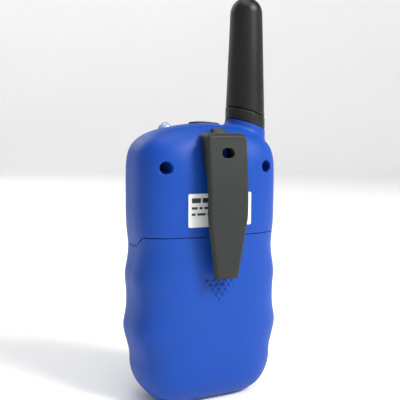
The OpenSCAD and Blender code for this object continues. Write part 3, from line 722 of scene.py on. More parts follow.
blue_plastic = moulded("blue_plastic", BLUE, 0.46, vary=0.05, grain_depth=0.010, wear=0.22,
                       worn=linear(84, 128, 214), Specular_IOR_Level=0.24)
inner_plastic = moulded("inner_plastic", [c * 0.9 for c in BLUE], 0.5, wear=0.1, edge_mm=0.2)
charcoal_plastic = moulded("charcoal_plastic", CHARCOAL, 0.52, vary=0.08, grain_mm=0.3,
                           grain_depth=0.02, wear=0.35, worn=linear(92, 94, 92), edge_mm=0.35,
                           Specular_IOR_Level=0.26)
panel_plastic = moulded("panel_plastic", linear(44, 46, 50), 0.32, vary=0.06, grain_depth=0.008, wear=0.3)
key_rubber = moulded("key_rubber", linear(58, 60, 64), 0.6, grain_mm=0.25, grain_depth=0.02, wear=0.3)
ptt_plastic = moulded("ptt_plastic", linear(46, 48, 50), 0.55, grain_mm=0.3, grain_depth=0.02, wear=0.4)
antenna_rubber = moulded("antenna_rubber", BLACK, 0.44, vary=0.12, grain_mm=0.28, grain_depth=0.018,
                         wear=0.3, worn=linear(70, 72, 72), smudge=0.07,
                         Specular_IOR_Level=0.32)
flap_rubber = moulded("flap_rubber", BLACK, 0.62, vary=0.1, grain_mm=0.3, grain_depth=0.02, wear=0.35)
black_part = moulded("black_part", linear(30, 30, 32), 0.45, grain_depth=0.008, wear=0.2, edge_mm=0.15)
silicone = moulded("silicone", linear(196, 196, 188), 0.55, grain_depth=0.01, wear=0.1)
nylon = moulded("nylon", linear(222, 219, 203), 0.45, grain_depth=0.01, wear=0.1)
lens = clear("lens", linear(206, 222, 248), 0.10, 1.5, milk=0.45)
pane = clear("pane", linear(226, 232, 230), 0.03, 1.49)
board = laminate("board", linear(26, 98, 58), linear(60, 140, 84))
steel = metal("steel", (0.62, 0.63, 0.64), 0.28)
zinc = metal("zinc", (0.50, 0.50, 0.50), 0.34, brush=(6.0, 1.0, 6.0), tarnish=0.3)
brass = metal("brass", (0.78, 0.58, 0.28), 0.3)
cone_paper = fibre("cone_paper", linear(40, 40, 42), 0.35)
felt = fibre("felt", linear(34, 34, 36), 0.22)
film = printed_film("film", linear(222, 226, 224), linear(120, 122, 120), 6.0)
cell_film = moulded("cell_film", linear(52, 56, 62), 0.3, vary=0.08, grain_depth=0.004, wear=0.2)
lcd_glass = moulded("lcd_glass", linear(126, 136, 112), 0.18, vary=0.04, grain_depth=0.002, wear=0.0)
segment_ink = moulded("segment_ink", linear(58, 64, 54), 0.3, grain_depth=0.002, wear=0.0)
mark_paint = moulded("mark_paint", linear(206, 208, 210), 0.4, grain_depth=0.004, wear=0.0)
chip_cup = metal("chip_cup", (0.90, 0.90, 0.92), 0.2, tarnish=0.05)
ink = printed_film("ink", linear(40, 42, 46), linear(90, 92, 96), 1.0)


# ---------- rear case, rail, door and front case ----------


def screw_recess(side):
    """Opening for an upper case screw, with a seat for its head; side is -1 or 1."""
    rings = [*rounded_mouth(0.35), (0, None, SCREW_SEAT_Y + 0.25), (-0.07, None, SCREW_SEAT_Y + 0.07),
             (-0.25, None, SCREW_SEAT_Y), (-0.9, None, SCREW_SEAT_Y), (-0.95, None, 2.5)]
    boss = (1.2, None, 1.6)
    return Opening((side * SCREWS[0], SCREWS[1]), (2.2, 2.2, 2.2), 1, back_y, rings, boss, margin=0.9)


def neck(skin):
    """The collar of the case that the antenna grows out of, flowing into the crown."""
    turn = np.arange(112) * 2 * np.pi / 112
    spread = 2.8 - 0.85 * (1 - np.cos(turn))

    def around(r):
        return ANTENNA_X + r * np.cos(turn), ANTENNA_Y + r * np.sin(turn)

    def crown(r):
        x, y = around(r)
        return crown_z(np.clip(x, -28.0, 28.0), y)

    rings = [np.stack([*around(NECK_R - 1.5), crown(NECK_R) - 4], -1)]
    slope = np.clip((crown(NECK_R + 0.3) - crown(NECK_R - 0.3)) / 0.6, -2, 2)
    stretch = np.sqrt(1 + slope**2)
    fillet = np.linspace(-1, 1, 13)
    for share in (-1.15, *fillet):
        d = share * spread
        out, up = (spread - d) ** 2 / (4 * spread), (spread + d) ** 2 / (4 * spread)
        if share < -1:
            out, up = -d, np.full_like(d, -0.15)
        x, y = around(NECK_R + out)
        rings.append(np.stack([x, y, crown(NECK_R + out) + up * stretch], -1))
    edge = 0.4
    for t in np.linspace(0, np.pi / 2, 5):
        x, y = around(NECK_R - edge * (1 - math.cos(t)))
        lift = edge * (1 - math.sin(t))
        rings.append(np.stack([x, y, COLLAR_Z - 0.05 + SLOPE * (x - ANTENNA_X) - lift], -1))
    for r, drop in ((6.9, 0.0), (5.4, 0.0), (5.2, 0.2), (5.2, 2.5)):
        x, y = around(r)
        rings.append(np.stack([x, y, COLLAR_Z - 0.05 + SLOPE * (x - ANTENNA_X) - drop], -1))
    skin.stack(rings)


def rear_case():
    """Rear case above the door, with the openings of the screws, lamp, socket and talk key."""
    torch_hole = Opening(TORCH, (2.75, 2.75, 2.75), 2, crown_z,
                         [*rounded_mouth(0.3), (0, None, 96.0)], (0.8, None, 95.0), margin=0.7)
    ferrule = (2.6, 2.6, 2.6)
    seat = Opening(JACK, (JACK_HALF_W + 0.15, JACK_HALF_D + 0.15, JACK_HALF_D + 0.15), 2, crown_z,
                   [*rounded_mouth(0.15), (0, 0.5, None), (-0.08, 0.6, None), (-0.3, 0.62, None),
                    (0.15, 0.62, None, ferrule), (0, 0.75, None, ferrule), (0, None, 97.5, ferrule)],
                   (-0.5, None, 97.0), margin=0.7)
    ptt_slot = Opening((PTT_Y, PTT_Z), (PTT_HALF_D + 0.25, PTT_HALF_H + 0.25, PTT_CORNER + 0.25), 0,
                       flank_x, [*rounded_mouth(0.3), (0, 3.2, None), (-0.6, 3.2, None)],
                       (0.8, 4.0, None), sign=-1, margin=0.7)
    skin = half_shell(lambda y: seam_z(y) + GAP / 2, HALF_LOOP, CASE_WALL, 80,
                      [screw_recess(-1), screw_recess(1), torch_hole, seat, ptt_slot])
    neck(skin)
    return skin.build("rear_case_shell", "case", blue_plastic, ["rear_case"], "blue_case")


def clip_rail():
    """Rail on the back that the belt clip slides over: a stem and a wider head, with a hole through."""
    hole = Skin()
    middle, half_h = sum(RAIL_Z) / 2, (RAIL_Z[1] - RAIL_Z[0]) / 2
    prism(hole, (0, CLIP_HOLE_Z), (3.7, 2.7, 0.8), 5.0, 30.0)
    for name, half_w, low, high in (("clip_rail_stem", 2.6, 12.0, 18.7), ("clip_rail_head", 4.2, 18.7, 20.0)):
        skin = Skin()
        block(skin, (0, middle), (half_w, half_h, 0.5), 1, low, high, 0.2)
        skin.carve([hole], name, "case", blue_plastic, slot="blue_case")


def battery_door():
    """Lower back cover, with a triangle of grip dots."""
    skin = half_shell(lambda y: seam_z(y) - GAP / 2, 0.0, DOOR_WALL, 100)
    for row in range(DOT_ROWS):
        for k in range(row + 1):
            grip_dot(skin, (k - row / 2) * DOT_PITCH, DOT_Z + row * DOT_PITCH * 0.66)
    return skin.build("battery_door_shell", "door", blue_plastic, ["battery_door"], "blue_case")


def grip_dot(skin, x, z, r=0.76, height=0.55):
    """A low dome on the door."""
    turn = np.arange(20) * 2 * np.pi / 20
    rings = []
    for t in np.linspace(0, np.pi / 2, 6)[:-1]:
        px, pz = x + r * math.cos(t) * np.cos(turn), z + r * math.cos(t) * np.sin(turn)
        rings.append(np.stack([px, back_y(px, pz) + height * math.sin(t), pz], -1))
    under = rings[0] - np.array([0, 0.3, 0])
    first = skin.add(under)
    skin.rings(first, rings)
    skin.fan(first[::-1])


PANEL = ((0.0, 71.75), (19.0, 25.25, 9.0))
LCD = ((0.0, 84.0), (14.5, 8.0, 2.5))
KEYS = {
    "up": ((0.0, 69.2), (6.5, 2.6, 2.4)), "down": ((0.0, 50.8), (6.5, 2.6, 2.4)),
    "menu": ((0.0, 60.0), (4.2, 4.2, 4.2)), "call": ((-12.3, 60.0), (4.2, 3.0, 2.8)),
    "monitor": ((12.3, 60.0), (4.2, 3.0, 2.8)),
}
GRILLE_Z, GRILLE_PITCH, GRILLE_R, MIC = 28.0, 4.4, 1.2, (13.5, 43.0)


def grown(half, by):
    """Half sizes and corner of a rounded rectangle, with its edge moved outwards."""
    return tuple(max(h + by, 0.02) for h in half)


def skin_plate(skin, centre, half, outer, inner, soft=0.15, spacing=1.3):
    """A closed plate with a rounded-rectangle outline; its faces are outer and inner, Y over (x, z)."""
    a, b, corner = half
    along = (max(1, int(a / 0.8)), max(1, int(b / 0.8)))
    reach = min(a, b)
    inner_rings = np.linspace(soft, reach, int(reach / spacing) + 2)[1:]
    insets = np.concatenate([[0.0, soft * 0.3, soft], inner_rings])
    drops = [soft, soft * 0.3] + [0.0] * (len(insets) - 2)
    rings = []
    for face, sense in ((inner, -1), (outer, 1)):
        made = []
        for inset, drop in zip(insets, drops):
            flat = rounded_outline(a - inset, b - inset, max(corner - inset, 0.0), 9, along) + centre
            x, z = flat.T
            made.append(np.stack([x, face(x, z) + sense * drop, z], -1))
        rings += made[::-1] if sense < 0 else made
    skin.rings(skin.add(rings[0]), rings[1:], cap=False)


def prism(skin, centre, half, y0, y1):
    """A plain rounded prism along Y, for cutting."""
    flat = rounded_outline(*half, 9) + centre
    first = skin.add(placed(flat, 1, y0))
    skin.rings(first, [placed(flat, 1, y1)])
    skin.fan(first[::-1])


def grille_places():
    """Holes of the loudspeaker's grille: one, a ring of six and a ring of twelve."""
    yield 0.0, GRILLE_Z
    for ring in (1, 2):
        for k in range(ring * 6):
            turn = 2 * math.pi * k / (ring * 6)
            yield ring * GRILLE_PITCH * math.cos(turn), GRILLE_Z + ring * GRILLE_PITCH * math.sin(turn)


def front_case():
    """Front half of the casing, with the panel's recess and the openings through it."""
    place, share, rise = section_rows(SPLIT_Y - GAP / 2, -1, 0.95)
    u = np.tile(np.linspace(0, 2 * HALF_LOOP, 250, endpoint=False), (len(place), 1))
    skin = Skin()
    shell(skin, u, (place[:, None] + 0 * u,), share, rise, CASE_WALL, close=True)
    recess = Skin()
    skin_plate(recess, *PANEL, lambda x, z: 0 * x - 20, lambda x, z: front_y(x, z) + 1.3)
    through = Skin()
    prism(through, LCD[0], grown(LCD[1], 0.6), -20, -9)
    for centre, half in KEYS.values():
        prism(through, centre, grown(half, 0.7), -20, -9)
    turn = np.arange(28) * 2 * np.pi / 28
    for x, z in grille_places():
        rings = [np.stack([x + r * np.cos(turn), 0 * turn + y, z + r * np.sin(turn)], -1)
                 for r, y in ((2.2, -16.9), (GRILLE_R + 0.3, -16.2), (GRILLE_R + 0.08, -16.0),
                              (GRILLE_R, -15.7), (GRILLE_R, -13.0))]
        through.stack(rings)
    prism(through, MIC, (0.8, 0.8, 0.8), -20, -12)
    skin.carve([recess, through], "front_case_shell", "case", blue_plastic, ["front_case"], "blue_case")


# ---------- antenna ----------


def slanted(base_z, fade):
    """Shears a ring of points to the collar's slant, fading out above base_z over a height."""
    def shear(points):
        share = np.clip(1 - (points[:, 2] - base_z) / fade, 0, 1) if fade else 1.0
        points = points.copy()
        points[:, 2] += share * SLOPE * (points[:, 0] - ANTENNA_X)
        return points

    return shear


def antenna_radius(z):
    """Radius of the tapering sleeve at a height."""
    top = ANTENNA_TIP_Z - ANTENNA_TIP_R
    return ANTENNA_R - (ANTENNA_R - ANTENNA_TIP_R) * (z - COLLAR_Z) / (top - COLLAR_Z)


def antenna():
    """Collar ring and tapering sleeve with a round tip, both slanted at the joint between them."""
    axis = (ANTENNA_X, ANTENNA_Y)
    edge = 0.35
    turn = np.linspace(0, np.pi / 2, 5)
    low, high = COLLAR_Z + 0.05, COLLAR_Z + COLLAR_H - 0.15
    profile = [(5.0, low), (ANTENNA_R - edge, low)]
    profile += [(ANTENNA_R - edge * (1 - math.sin(t)), low + edge * (1 - math.cos(t))) for t in turn[1:]]
    profile += [(ANTENNA_R - edge * (1 - math.cos(t)), high - edge * (1 - math.sin(t))) for t in turn]
    profile += [(5.6, high)]
    skin = Skin()
    skin.lathe(axis, [(4.9, low - 5), *profile], 96, slanted(0, 0))
    skin.fan(np.arange(96)[::-1])
    skin.build("antenna_collar_ring", "case", antenna_rubber, ["antenna_collar"], "antenna_rubber")

    low = COLLAR_Z + COLLAR_H + 0.15
    top = ANTENNA_TIP_Z - ANTENNA_TIP_R
    radius = antenna_radius(low)
    profile = [(5.6, low), (radius - edge, low)]
    profile += [(radius - edge * (1 - math.sin(t)), low + edge * (1 - math.cos(t))) for t in turn[1:]]
    profile += [(antenna_radius(z), z) for z in np.linspace(low + edge + 0.8, top, 34)]
    profile += [(ANTENNA_TIP_R * math.cos(t), top + ANTENNA_TIP_R * math.sin(t))
                for t in np.linspace(0, np.pi / 2, 15)[1:-1]]
    skin = Skin()
    skin.lathe(axis, profile, 96, slanted(low, 30.0))
    skin.fan(np.arange(96)[::-1])
    skin.build("antenna_sleeve_skin", "case", antenna_rubber, ["antenna_sleeve"], "antenna_rubber")


# ---------- belt clip ----------


def clip_outline():
    """The clip's outline seen from behind: its right half from top to tip, then its left half back up."""
    top_r, tip_r = 2.3, 1.2
    turn = np.linspace(np.pi / 2, 0, 9)
    top = [(CLIP_HALF_W - top_r + top_r * math.cos(t), CLIP_TOP_Z - top_r + top_r * math.sin(t))
           for t in turn]
    z = np.linspace(CLIP_TOP_Z - top_r, CLIP_TIP_Z + tip_r, 52)[1:-1]
    start = 72.0
    taper = np.clip((start - z) / (start - CLIP_TIP_Z), 0, 1)
    ease = np.where(taper < 0.15, taper**2 / 0.3, taper - 0.075) / 0.925
    w = CLIP_HALF_W - 0.1 - (CLIP_HALF_W - 0.1 - CLIP_TIP_HALF_W) * ease
    w = np.where(z > start, CLIP_HALF_W - 0.1 * (CLIP_TOP_Z - z) / (CLIP_TOP_Z - start), w)
    tip = [(CLIP_TIP_HALF_W - tip_r + tip_r * math.cos(t), CLIP_TIP_Z + tip_r - tip_r * math.sin(t))
           for t in np.linspace(0, np.pi / 2, 7)]
    right = np.array(top + list(zip(w, z)) + tip)
    left = right[::-1] * np.array([-1, 1])
    return np.concatenate([right, left])


def inward(points):
    """Unit normals of a closed clockwise outline, pointing in."""
    along = np.roll(points, -1, axis=0) - np.roll(points, 1, axis=0)
    along /= np.linalg.norm(along, axis=1)[:, None]
    return np.stack([along[:, 1], -along[:, 0]], -1)


def clip_outer_y(z):
    """Outer face of the clip: a smooth curve through its profile."""
    z = np.asarray(z, float)
    knots = np.array(CLIP_FACE)[::-1]
    soft = [np.interp(z + d, knots[:, 0], knots[:, 1]) for d in np.linspace(-3, 3, 13)]
    return np.mean(soft, axis=0)


def clip_inner_y(z):
    """Inner face of the clip: the arm's, then down to the body in front of the rail."""
    knots = np.array([(48.3, 20.7), (52.5, 21.1), (72.0, 21.95), (80.0, 21.9), (85.0, 20.3), (87.4, 17.1),
                      (90.0, 16.75), (95.0, 15.9), (98.0, 14.6), (99.4, 13.4)])
    soft = [np.interp(np.asarray(z) + d, knots[:, 0], knots[:, 1]) for d in np.linspace(-0.8, 0.8, 5)]
    return np.maximum(np.mean(soft, axis=0), back_y(0, np.asarray(z)) + 0.05)


def belt_clip():
    """Clip in one piece: a chamfered plate, the block behind it, the latch tab and the hole."""
    outline = clip_outline()
    normal = inward(outline)
    n = len(outline)
    skin = Skin()

    def ring(inset, outer, drop):
        flat = outline + normal * inset
        z = flat[:, 1]
        y = clip_outer_y(z) - drop if outer else clip_inner_y(z) + drop
        return np.stack([flat[:, 0], y, z], -1)

    def step(inset, shift):
        """Side of the clip between the plate's back and its block, which is set in a little."""
        flat = outline + normal * inset
        z = flat[:, 1]
        low, high = clip_inner_y(z), clip_outer_y(z)
        y = np.maximum(high - CLIP_PLATE, low + 0.25 * (high - low)) + shift
        return np.stack([flat[:, 0], y, z], -1)

    def raised(points, rise):
        """The block's top end rises towards the body."""
        share = np.clip((points[:, 2] - 96.5) / 2.5, 0, 1)
        points[:, 2] += share * rise
        return points

    chamfer, soft = 0.95, 0.2
    outer = [(0, chamfer + soft), (0.04, chamfer + 0.05), (0.12, chamfer - 0.1),
             (chamfer - 0.12, 0.12), (chamfer - 0.02, 0.05), (chamfer + soft, 0)]
    inner = [(0.95, 0), (0.75, 0.06), (0.6, 0.3)]
    rings = [raised(ring(i, False, d), 1.0) for i, d in inner]
    rings += [raised(step(0.55, -0.25), 0.9), step(0.45, -0.05), step(0.12, 0.0), step(0, 0.12)]
    rings += [ring(i, True, d) for i, d in outer]
    first = skin.add(rings[0])
    last = skin.rings(first, rings[1:], cap=False)
    for loop, outer_side in ((last, True), (first, False)):
        right, left = loop[: n // 2], loop[n // 2 :][::-1]
        edge = np.array([skin.points[k] for k in right])
        spans = np.linspace(1, -1, 15)
        middle = edge[:, None] * np.stack([spans, spans * 0 + 1, spans * 0 + 1], -1)
        ids = skin.add(middle)
        ids[:, 0], ids[:, -1] = right, left
        if outer_side:
            hole = Opening((0, CLIP_HOLE_Z), (2.4, 1.75, 1.75), 1, lambda x, z: clip_outer_y(z),
                           [*rounded_mouth(0.3), (0, 2.2, None), (-0.02, 2.4, None)], margin=0.45, steps=3)
            window = hole.window(middle)
            skin.grid(ids, skip=[window])
            hole.fill(skin, ids, window)
        else:
            skin.grid(ids, flip=True)
    latch = [(14.0, 98.6), (12.95, 101.1), (13.2, 101.6), (14.5, 101.6), (16.4, 98.9), (16.4, 98.2),
             (14.4, 98.0)]
    sides = [np.array([(x, y, z) for y, z in latch]) for x in (-2.5, -2.3, 2.3, 2.5)]
    centre = np.mean(sides[0], axis=0)[1:]
    for k in (0, 3):
        sides[k][:, 1:] = centre + (sides[k][:, 1:] - centre) * 0.88
    base = skin.add(sides[0])
    skin.rings(base, sides[1:])
    skin.fan(base[::-1])
    piece = skin.carve(rail_grooves(), "belt_clip_plate", None, charcoal_plastic, ["clip_base", "clip_arm"],
                       "charcoal_clip")
    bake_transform(piece)


def rail_grooves():
    """Room in the clip for the rail's stem and head, open at the lower side."""
    slack = 0.15
    low, high = 78.0, RAIL_Z[1] + slack
    middle, half_h = (low + high) / 2, (high - low) / 2
    for half_w, y0, y1 in ((2.6, 10.0, 19.0), (4.2, 18.55, 20.15)):
        skin = Skin()
        block(skin, (0, middle), (half_w + slack, half_h, 0.3), 1, y0, y1, 0.05)
        yield skin


# ---------- inside the rear case ----------

TUB_HALF_W, TUB_Z, TUB_FLOOR_Y, TUB_WALL, TUB_SIDE_Y, TUB_END_Y = 24.3, (9.4, 58.4), 0.8, 1.3, 6.5, 11.4
TUB_MIDDLE, TUB_HALF_H = (TUB_Z[0] + TUB_Z[1]) / 2, (TUB_Z[1] - TUB_Z[0]) / 2
ROOF_Z, SEAM_COLLAR_TOP_Z, LIP_Y = (58.9, 60.2), 65.0, -7.6
CELL_R, CELL_LEN, CELL_PITCH, CELL_Y, CONTACT_T = 5.25, 44.5, 10.75, 7.1, 0.4
CELL_X = [(k - 1.5) * CELL_PITCH for k in range(4)]


def inside_y(x, z, clear=DOOR_WALL + 0.4):
    """How far back something may reach inside the door at a point."""
    reach = np.clip(share_at(x, z) / (1 - clear / HALF_W), 0, 1)
    return (BACK - clear) * section(reach)


def battery_tub():
    """Open tray for the cells: floor, side walls, taller end walls and ribs between the cells."""
    low, high = TUB_Z[0] - TUB_WALL, TUB_Z[1] + TUB_WALL
    middle, half_h = (low + high) / 2, (high - low) / 2
    along = (30, 30)
    skin = Skin()

    def loop(inset, y=None, top=0.0):
        flat = rounded_outline(TUB_HALF_W - inset, half_h - inset, max(1.6 - inset, 0.4), 5, along)
        x, z = flat.T
        z = z + middle
        if y is None:
            end = (np.abs(z - middle) > half_h - TUB_WALL - 0.4) & (np.abs(x) < TUB_HALF_W - 1.5)
            y = np.minimum(np.where(end, TUB_END_Y, TUB_SIDE_Y), inside_y(x, z)) - top
        return np.stack([x, y + 0 * x, z], -1)

    floor = TUB_FLOOR_Y - TUB_WALL
    rings = [loop(0.25, floor), loop(0, floor + 0.25), loop(0, TUB_FLOOR_Y), loop(0, top=0.2), loop(0.2),
             loop(TUB_WALL - 0.2), loop(TUB_WALL, top=0.2), loop(TUB_WALL, TUB_FLOOR_Y + 0.3),
             loop(TUB_WALL + 0.3, TUB_FLOOR_Y)]
    skin.stack(rings)
    for k in range(3):
        for z in (19.5, 47.5):
            block(skin, ((CELL_X[k] + CELL_X[k + 1]) / 2, z), (0.5, 1.5, 0.2), 1, TUB_FLOOR_Y - 0.2, 3.4, 0.2)
    skin.build("battery_tub", "case", inner_plastic, slot="blue_case")


def body_band(inset, y_start, count=90):
    """Body's section at the seam, seen from above: points from one side round the back to the other."""
    turn = np.linspace(0, np.pi, count)
    width, depth = HALF_W - 0.8 - inset, BACK - inset
    x = np.sign(np.cos(turn)) * np.abs(np.cos(turn)) ** (2 / POWER) * width
    y = np.abs(np.sin(turn)) ** (2 / POWER) * depth
    ahead = np.linspace(y_start, 0, 6)[:-1]
    return np.concatenate([np.stack([0 * ahead + width, ahead], -1), np.stack([x, y], -1),
                           np.stack([0 * ahead - width, ahead[::-1]], -1)])


def case_collar():
    """Collar that closes the door's seam from inside, and the roof over the battery tub."""
    skin = Skin()
    soft = 0.2
    outer, inner = 2.05, 3.3
    low, high = ROOF_Z[0], SEAM_COLLAR_TOP_Z
    sections = [(outer + soft, low), (outer, low + soft), (outer, high), (inner, high),
                (inner, low + soft), (inner - soft, low)]
    rows = np.array([[(x, y, z) for x, y in body_band(inset, LIP_Y)] for inset, z in sections])
    ids = skin.add(rows)
    skin.grid(np.concatenate([ids, ids[:1]]))
    for end in (0, -1):
        skin.fan(ids[:, end])
    roof = body_band(inner - 0.4, 0.0)
    roof = roof[roof[:, 1] >= 0]
    roof = np.concatenate([roof, [[-roof[0, 0] + 0.4, -0.5], [roof[0, 0] - 0.4, -0.5]]])
    levels = [(0.15, low), (0, low + 0.15), (0, ROOF_Z[1])]
    centre = roof.mean(axis=0)
    rings = []
    for inset, z in levels:
        flat = centre + (roof - centre) * (1 - inset / 20)
        rings.append(np.stack([flat[:, 0], flat[:, 1], np.full(len(flat), z)], -1))
    skin.stack(rings)
    skin.build("case_collar", "case", inner_plastic, slot="blue_case")


def turned_y(skin, centre, profile, steps=48):
    """A turned shape about an axis along Y: (radius, y) pairs, closed at both ends."""
    turn = np.arange(steps) * 2 * np.pi / steps
    rings = [np.stack([centre[0] + r * np.cos(turn), np.full(steps, y), centre[1] + r * np.sin(turn)], -1)
             for r, y in profile]
    skin.stack(rings)


def turned_z(skin, centre, profile, steps=48):
    """A turned shape about an axis along Z: (radius, z) pairs, closed at both ends."""
    start = len(skin.points)
    skin.lathe(centre, profile, steps)
    skin.fan(np.arange(start, start + steps)[::-1])


def cells():
    """Four cells in plain printed sleeves, turned end for end."""
    low = TUB_HALF_H - CELL_LEN - CONTACT_T
    body_top = low + CELL_LEN - 0.9
    r = CELL_R
    for k, x in enumerate(CELL_X):
        sense = -1 if k % 2 else 1

        can = Skin()
        profile = [(2.6, low + 0.25), (3.0, low), (r - 0.6, low), (r - 0.15, low + 0.15),
                   (r - 0.05, low + 0.5), (r - 0.05, body_top - 0.9), (r - 0.3, body_top - 0.4),
                   (r - 0.9, body_top - 0.15), (2.3, body_top - 0.15), (1.95, body_top),
                   (1.9, low + CELL_LEN - 0.25), (1.6, low + CELL_LEN)]
        turned_z(can, (x, CELL_Y), [(q, TUB_MIDDLE + sense * z) for q, z in profile])
        names = ["battery_cells"] if k == 0 else []
        can.build(f"cell_can_{k}", "case", steel, names, "cell_can")
        sleeve = Skin()
        profile = [(r - 0.04, low + 0.7), (r, low + 0.75), (r, body_top - 1.2), (r - 0.04, body_top - 1.15)]
        turned_z(sleeve, (x, CELL_Y), [(q, TUB_MIDDLE + sense * z) for q, z in profile])
        sleeve.build(f"cell_sleeve_{k}", "case", cell_film, slot="cell_can")


def wire(skin, path, r, sides=10):
    """A round wire along a path of points."""
    path = np.asarray(path, float)
    along = np.gradient(path, axis=0)
    along /= np.linalg.norm(along, axis=1)[:, None]
    side = np.cross(along, [0.0, 1.0, 0.05])
    side /= np.linalg.norm(side, axis=1)[:, None]
    other = np.cross(along, side)
    turn = np.arange(sides) * 2 * np.pi / sides
    across = side[:, None] * np.cos(turn)[:, None] + other[:, None] * np.sin(turn)[:, None]
    rings = path[:, None] + r * across
    skin.stack(rings)


def springs():
    """Conical springs on the minus side of each cell, and the plates that link the cells."""
    room = 2 * TUB_HALF_H - CELL_LEN - CONTACT_T
    coils, plates = Skin(), Skin()
    for k, x in enumerate(CELL_X):
        sense = -1 if k % 2 else 1
        share = np.linspace(0, 1, 110)
        turn = 2 * np.pi * 2.6 * share
        r = 3.6 - 1.4 * share
        z = TUB_MIDDLE + sense * (-TUB_HALF_H + 0.85 + (room - 1.2) * share)
        wire(coils, np.stack([x + r * np.cos(turn), CELL_Y + r * np.sin(turn), z], -1), 0.3)
        for at, size, thick in ((TUB_HALF_H, 3.4, CONTACT_T), (-TUB_HALF_H, 3.7, 0.5)):
            faces = (at, at - math.copysign(thick, at))
            low, high = sorted(TUB_MIDDLE + sense * face for face in faces)
            block(plates, (x, CELL_Y), (size, size, 0.8), 2, low, high, 0.12)
    coils.build("cell_spring_coils", "case", steel, ["cell_springs"], "plated_steel")
    plates.build("cell_contact_plates", "case", steel, ["cell_contacts"], "plated_steel")


def cross_screw(skin, centre, seat, length, r, head_r, head_h, slot=0.5):
    """A pan-head screw along Y, head towards +Y; returns the two bars that cut its cross slot."""
    profile = [(0.4, seat - length), (r * 0.75, seat - length + 0.8)]
    pitch = 0.7
    y = seat - length + 1.0
    while y < seat - 1.2:
        profile += [(r * 0.78, y), (r, y + pitch * 0.45), (r, y + pitch * 0.55), (r * 0.78, y + pitch)]
        y += pitch
    profile += [(r * 0.85, seat - 0.02), (head_r - 0.1, seat), (head_r, seat + 0.12),
                (head_r, seat + head_h * 0.45)]
    profile += [(head_r * math.cos(t), seat + head_h * (0.45 + 0.55 * math.sin(t)))
                for t in np.linspace(0.2, 1.35, 6)]
    turned_y(skin, centre, profile, 40)
    bars = []
    for half in ((head_r * 0.6, slot / 2, 0.08), (slot / 2, head_r * 0.6, 0.08)):
        bar = Skin()
        block(bar, centre, half, 1, seat + head_h - 0.75, seat + head_h + 1.0, 0.05)
        bars.append(bar)
    return bars


def screws():
    """Four long screws of the casing and two short ones of the board."""
    long_size, short_size = (12.0, 1.1, 1.95, 1.3), (5.0, 0.8, 1.7, 1.1)
    upper = [((s * SCREWS[0], SCREWS[1]), SCREW_SEAT_Y, *long_size) for s in (-1, 1)]
    lower = [((s * LOW_SCREWS[0], LOW_SCREWS[1]), LOW_SEAT_Y, *long_size) for s in (-1, 1)]
    on_board = [((s * 18.5, 55.0), -7.2, *short_size) for s in (-1, 1)]
    for name, places in (("case_screw", upper + lower), ("pcb_screw", on_board)):
        for k, place in enumerate(places):
            skin = Skin()
            bars = cross_screw(skin, *place)
            skin.carve(bars, f"{name}_{k}", "case", zinc, [f"{name}s"] if k == 0 else [], "screw_zinc")


# ---------- top: torch lamp, earphone socket and its cover ----------


def torch():
    """Clear lamp with a dome, a collar and the bright cup of its chip inside."""
    top, r = TORCH_TOP_Z, 2.5
    skin = Skin()
    profile = [(2.6, top - 8.6), (2.85, top - 8.45), (2.85, top - 7.7), (2.5, top - 7.6), (2.5, top - r)]
    profile += [(r * math.cos(t), top - r + r * math.sin(t)) for t in np.linspace(0, np.pi / 2, 12)[1:-1]]
    turned_z(skin, TORCH, profile, 56)
    skin.build("torch_lens", "case", lens, ["torch_led"], "led_epoxy")
    cup = Skin()
    profile = [(0.35, 92.0), (0.35, 96.6), (1.3, 97.4), (1.95, 99.6), (1.85, 99.6), (1.0, 98.0),
               (0.5, 97.9), (0.45, 98.2), (0.1, 98.25)]
    turned_z(cup, TORCH, profile, 40)
    cup.build("torch_cup", "case", chip_cup, slot="led_epoxy")
    wires = Skin()
    for x in (-1.27, 1.27):
        wire(wires, [(TORCH[0] + x, TORCH[1], z) for z in np.linspace(90, 95.3, 8)], 0.25, 8)
    wires.build("torch_wires", "case", steel, slot="plated_steel")


def jack():
    """Earphone socket: moulded body with a turned ferrule around its bore."""
    x, y = JACK
    skin, bore = Skin(), Skin()
    block(skin, (x, -1.9), (4.0, 5.2, 0.5), 2, 87.0, 98.0, 0.25)
    turned_z(bore, JACK, [(1.8, 88.0), (1.8, 99.0)], 48)
    skin.carve([bore], "jack_body", "case", black_part, ["jack_socket"], "black_part")
    ferrule = Skin()
    profile = [(1.8, 97.9), (2.5, 97.9), (2.5, 100.3), (2.3, 100.6), (2.0, 100.6), (1.8, 100.4)]
    steps = 56
    turn = np.arange(steps) * 2 * np.pi / steps
    ids = ferrule.add(np.array([
        np.stack([x + r * np.cos(turn), y + r * np.sin(turn), np.full(steps, z)], -1) for r, z in profile
    ]))
    ferrule.grid(np.concatenate([ids, ids[:1]]), close=True)
    ferrule.build("jack_ferrule", "case", steel, slot="plated_steel")


def jack_flap():
    """Rubber cover over the socket: a low pillow on the crown with a lifting lip and a plug under it."""
    skin = Skin()

    def ring(inset, lift):
        end = max(JACK_HALF_D - inset, 0.0)
        flat = rounded_outline(JACK_HALF_W - inset, JACK_HALF_D - inset, end, 15, (6, 0)) + JACK
        x, y = flat.T
        return np.stack([x, y, crown_z(x, y) + lift], -1)

    under = ((3.3, -0.52), (2.0, -0.52), (0.25, -0.52), (0.02, -0.3))
    edge = ((0, 0.25), (0.08, 0.45), (0.3, 0.6), (0.6, 0.64))
    pillow = ((0.85, 0.56), (1.1, 0.56), (1.5, 0.62), (2.2, 0.66), (2.8, 0.68), (3.3, 0.68))
    rings = [ring(inset, lift) for inset, lift in under + edge + pillow]
    skin.rings(skin.add(rings[0]), rings[1:], cap=False)
    turned_z(skin, JACK, [(0.9, 101.0), (1.1, 101.3), (1.1, 103.0)], 32)
    skin.build("jack_flap", "socket_flap", flap_rubber, ["jack_cover"], "socket_rubber")


# ---------- label ----------


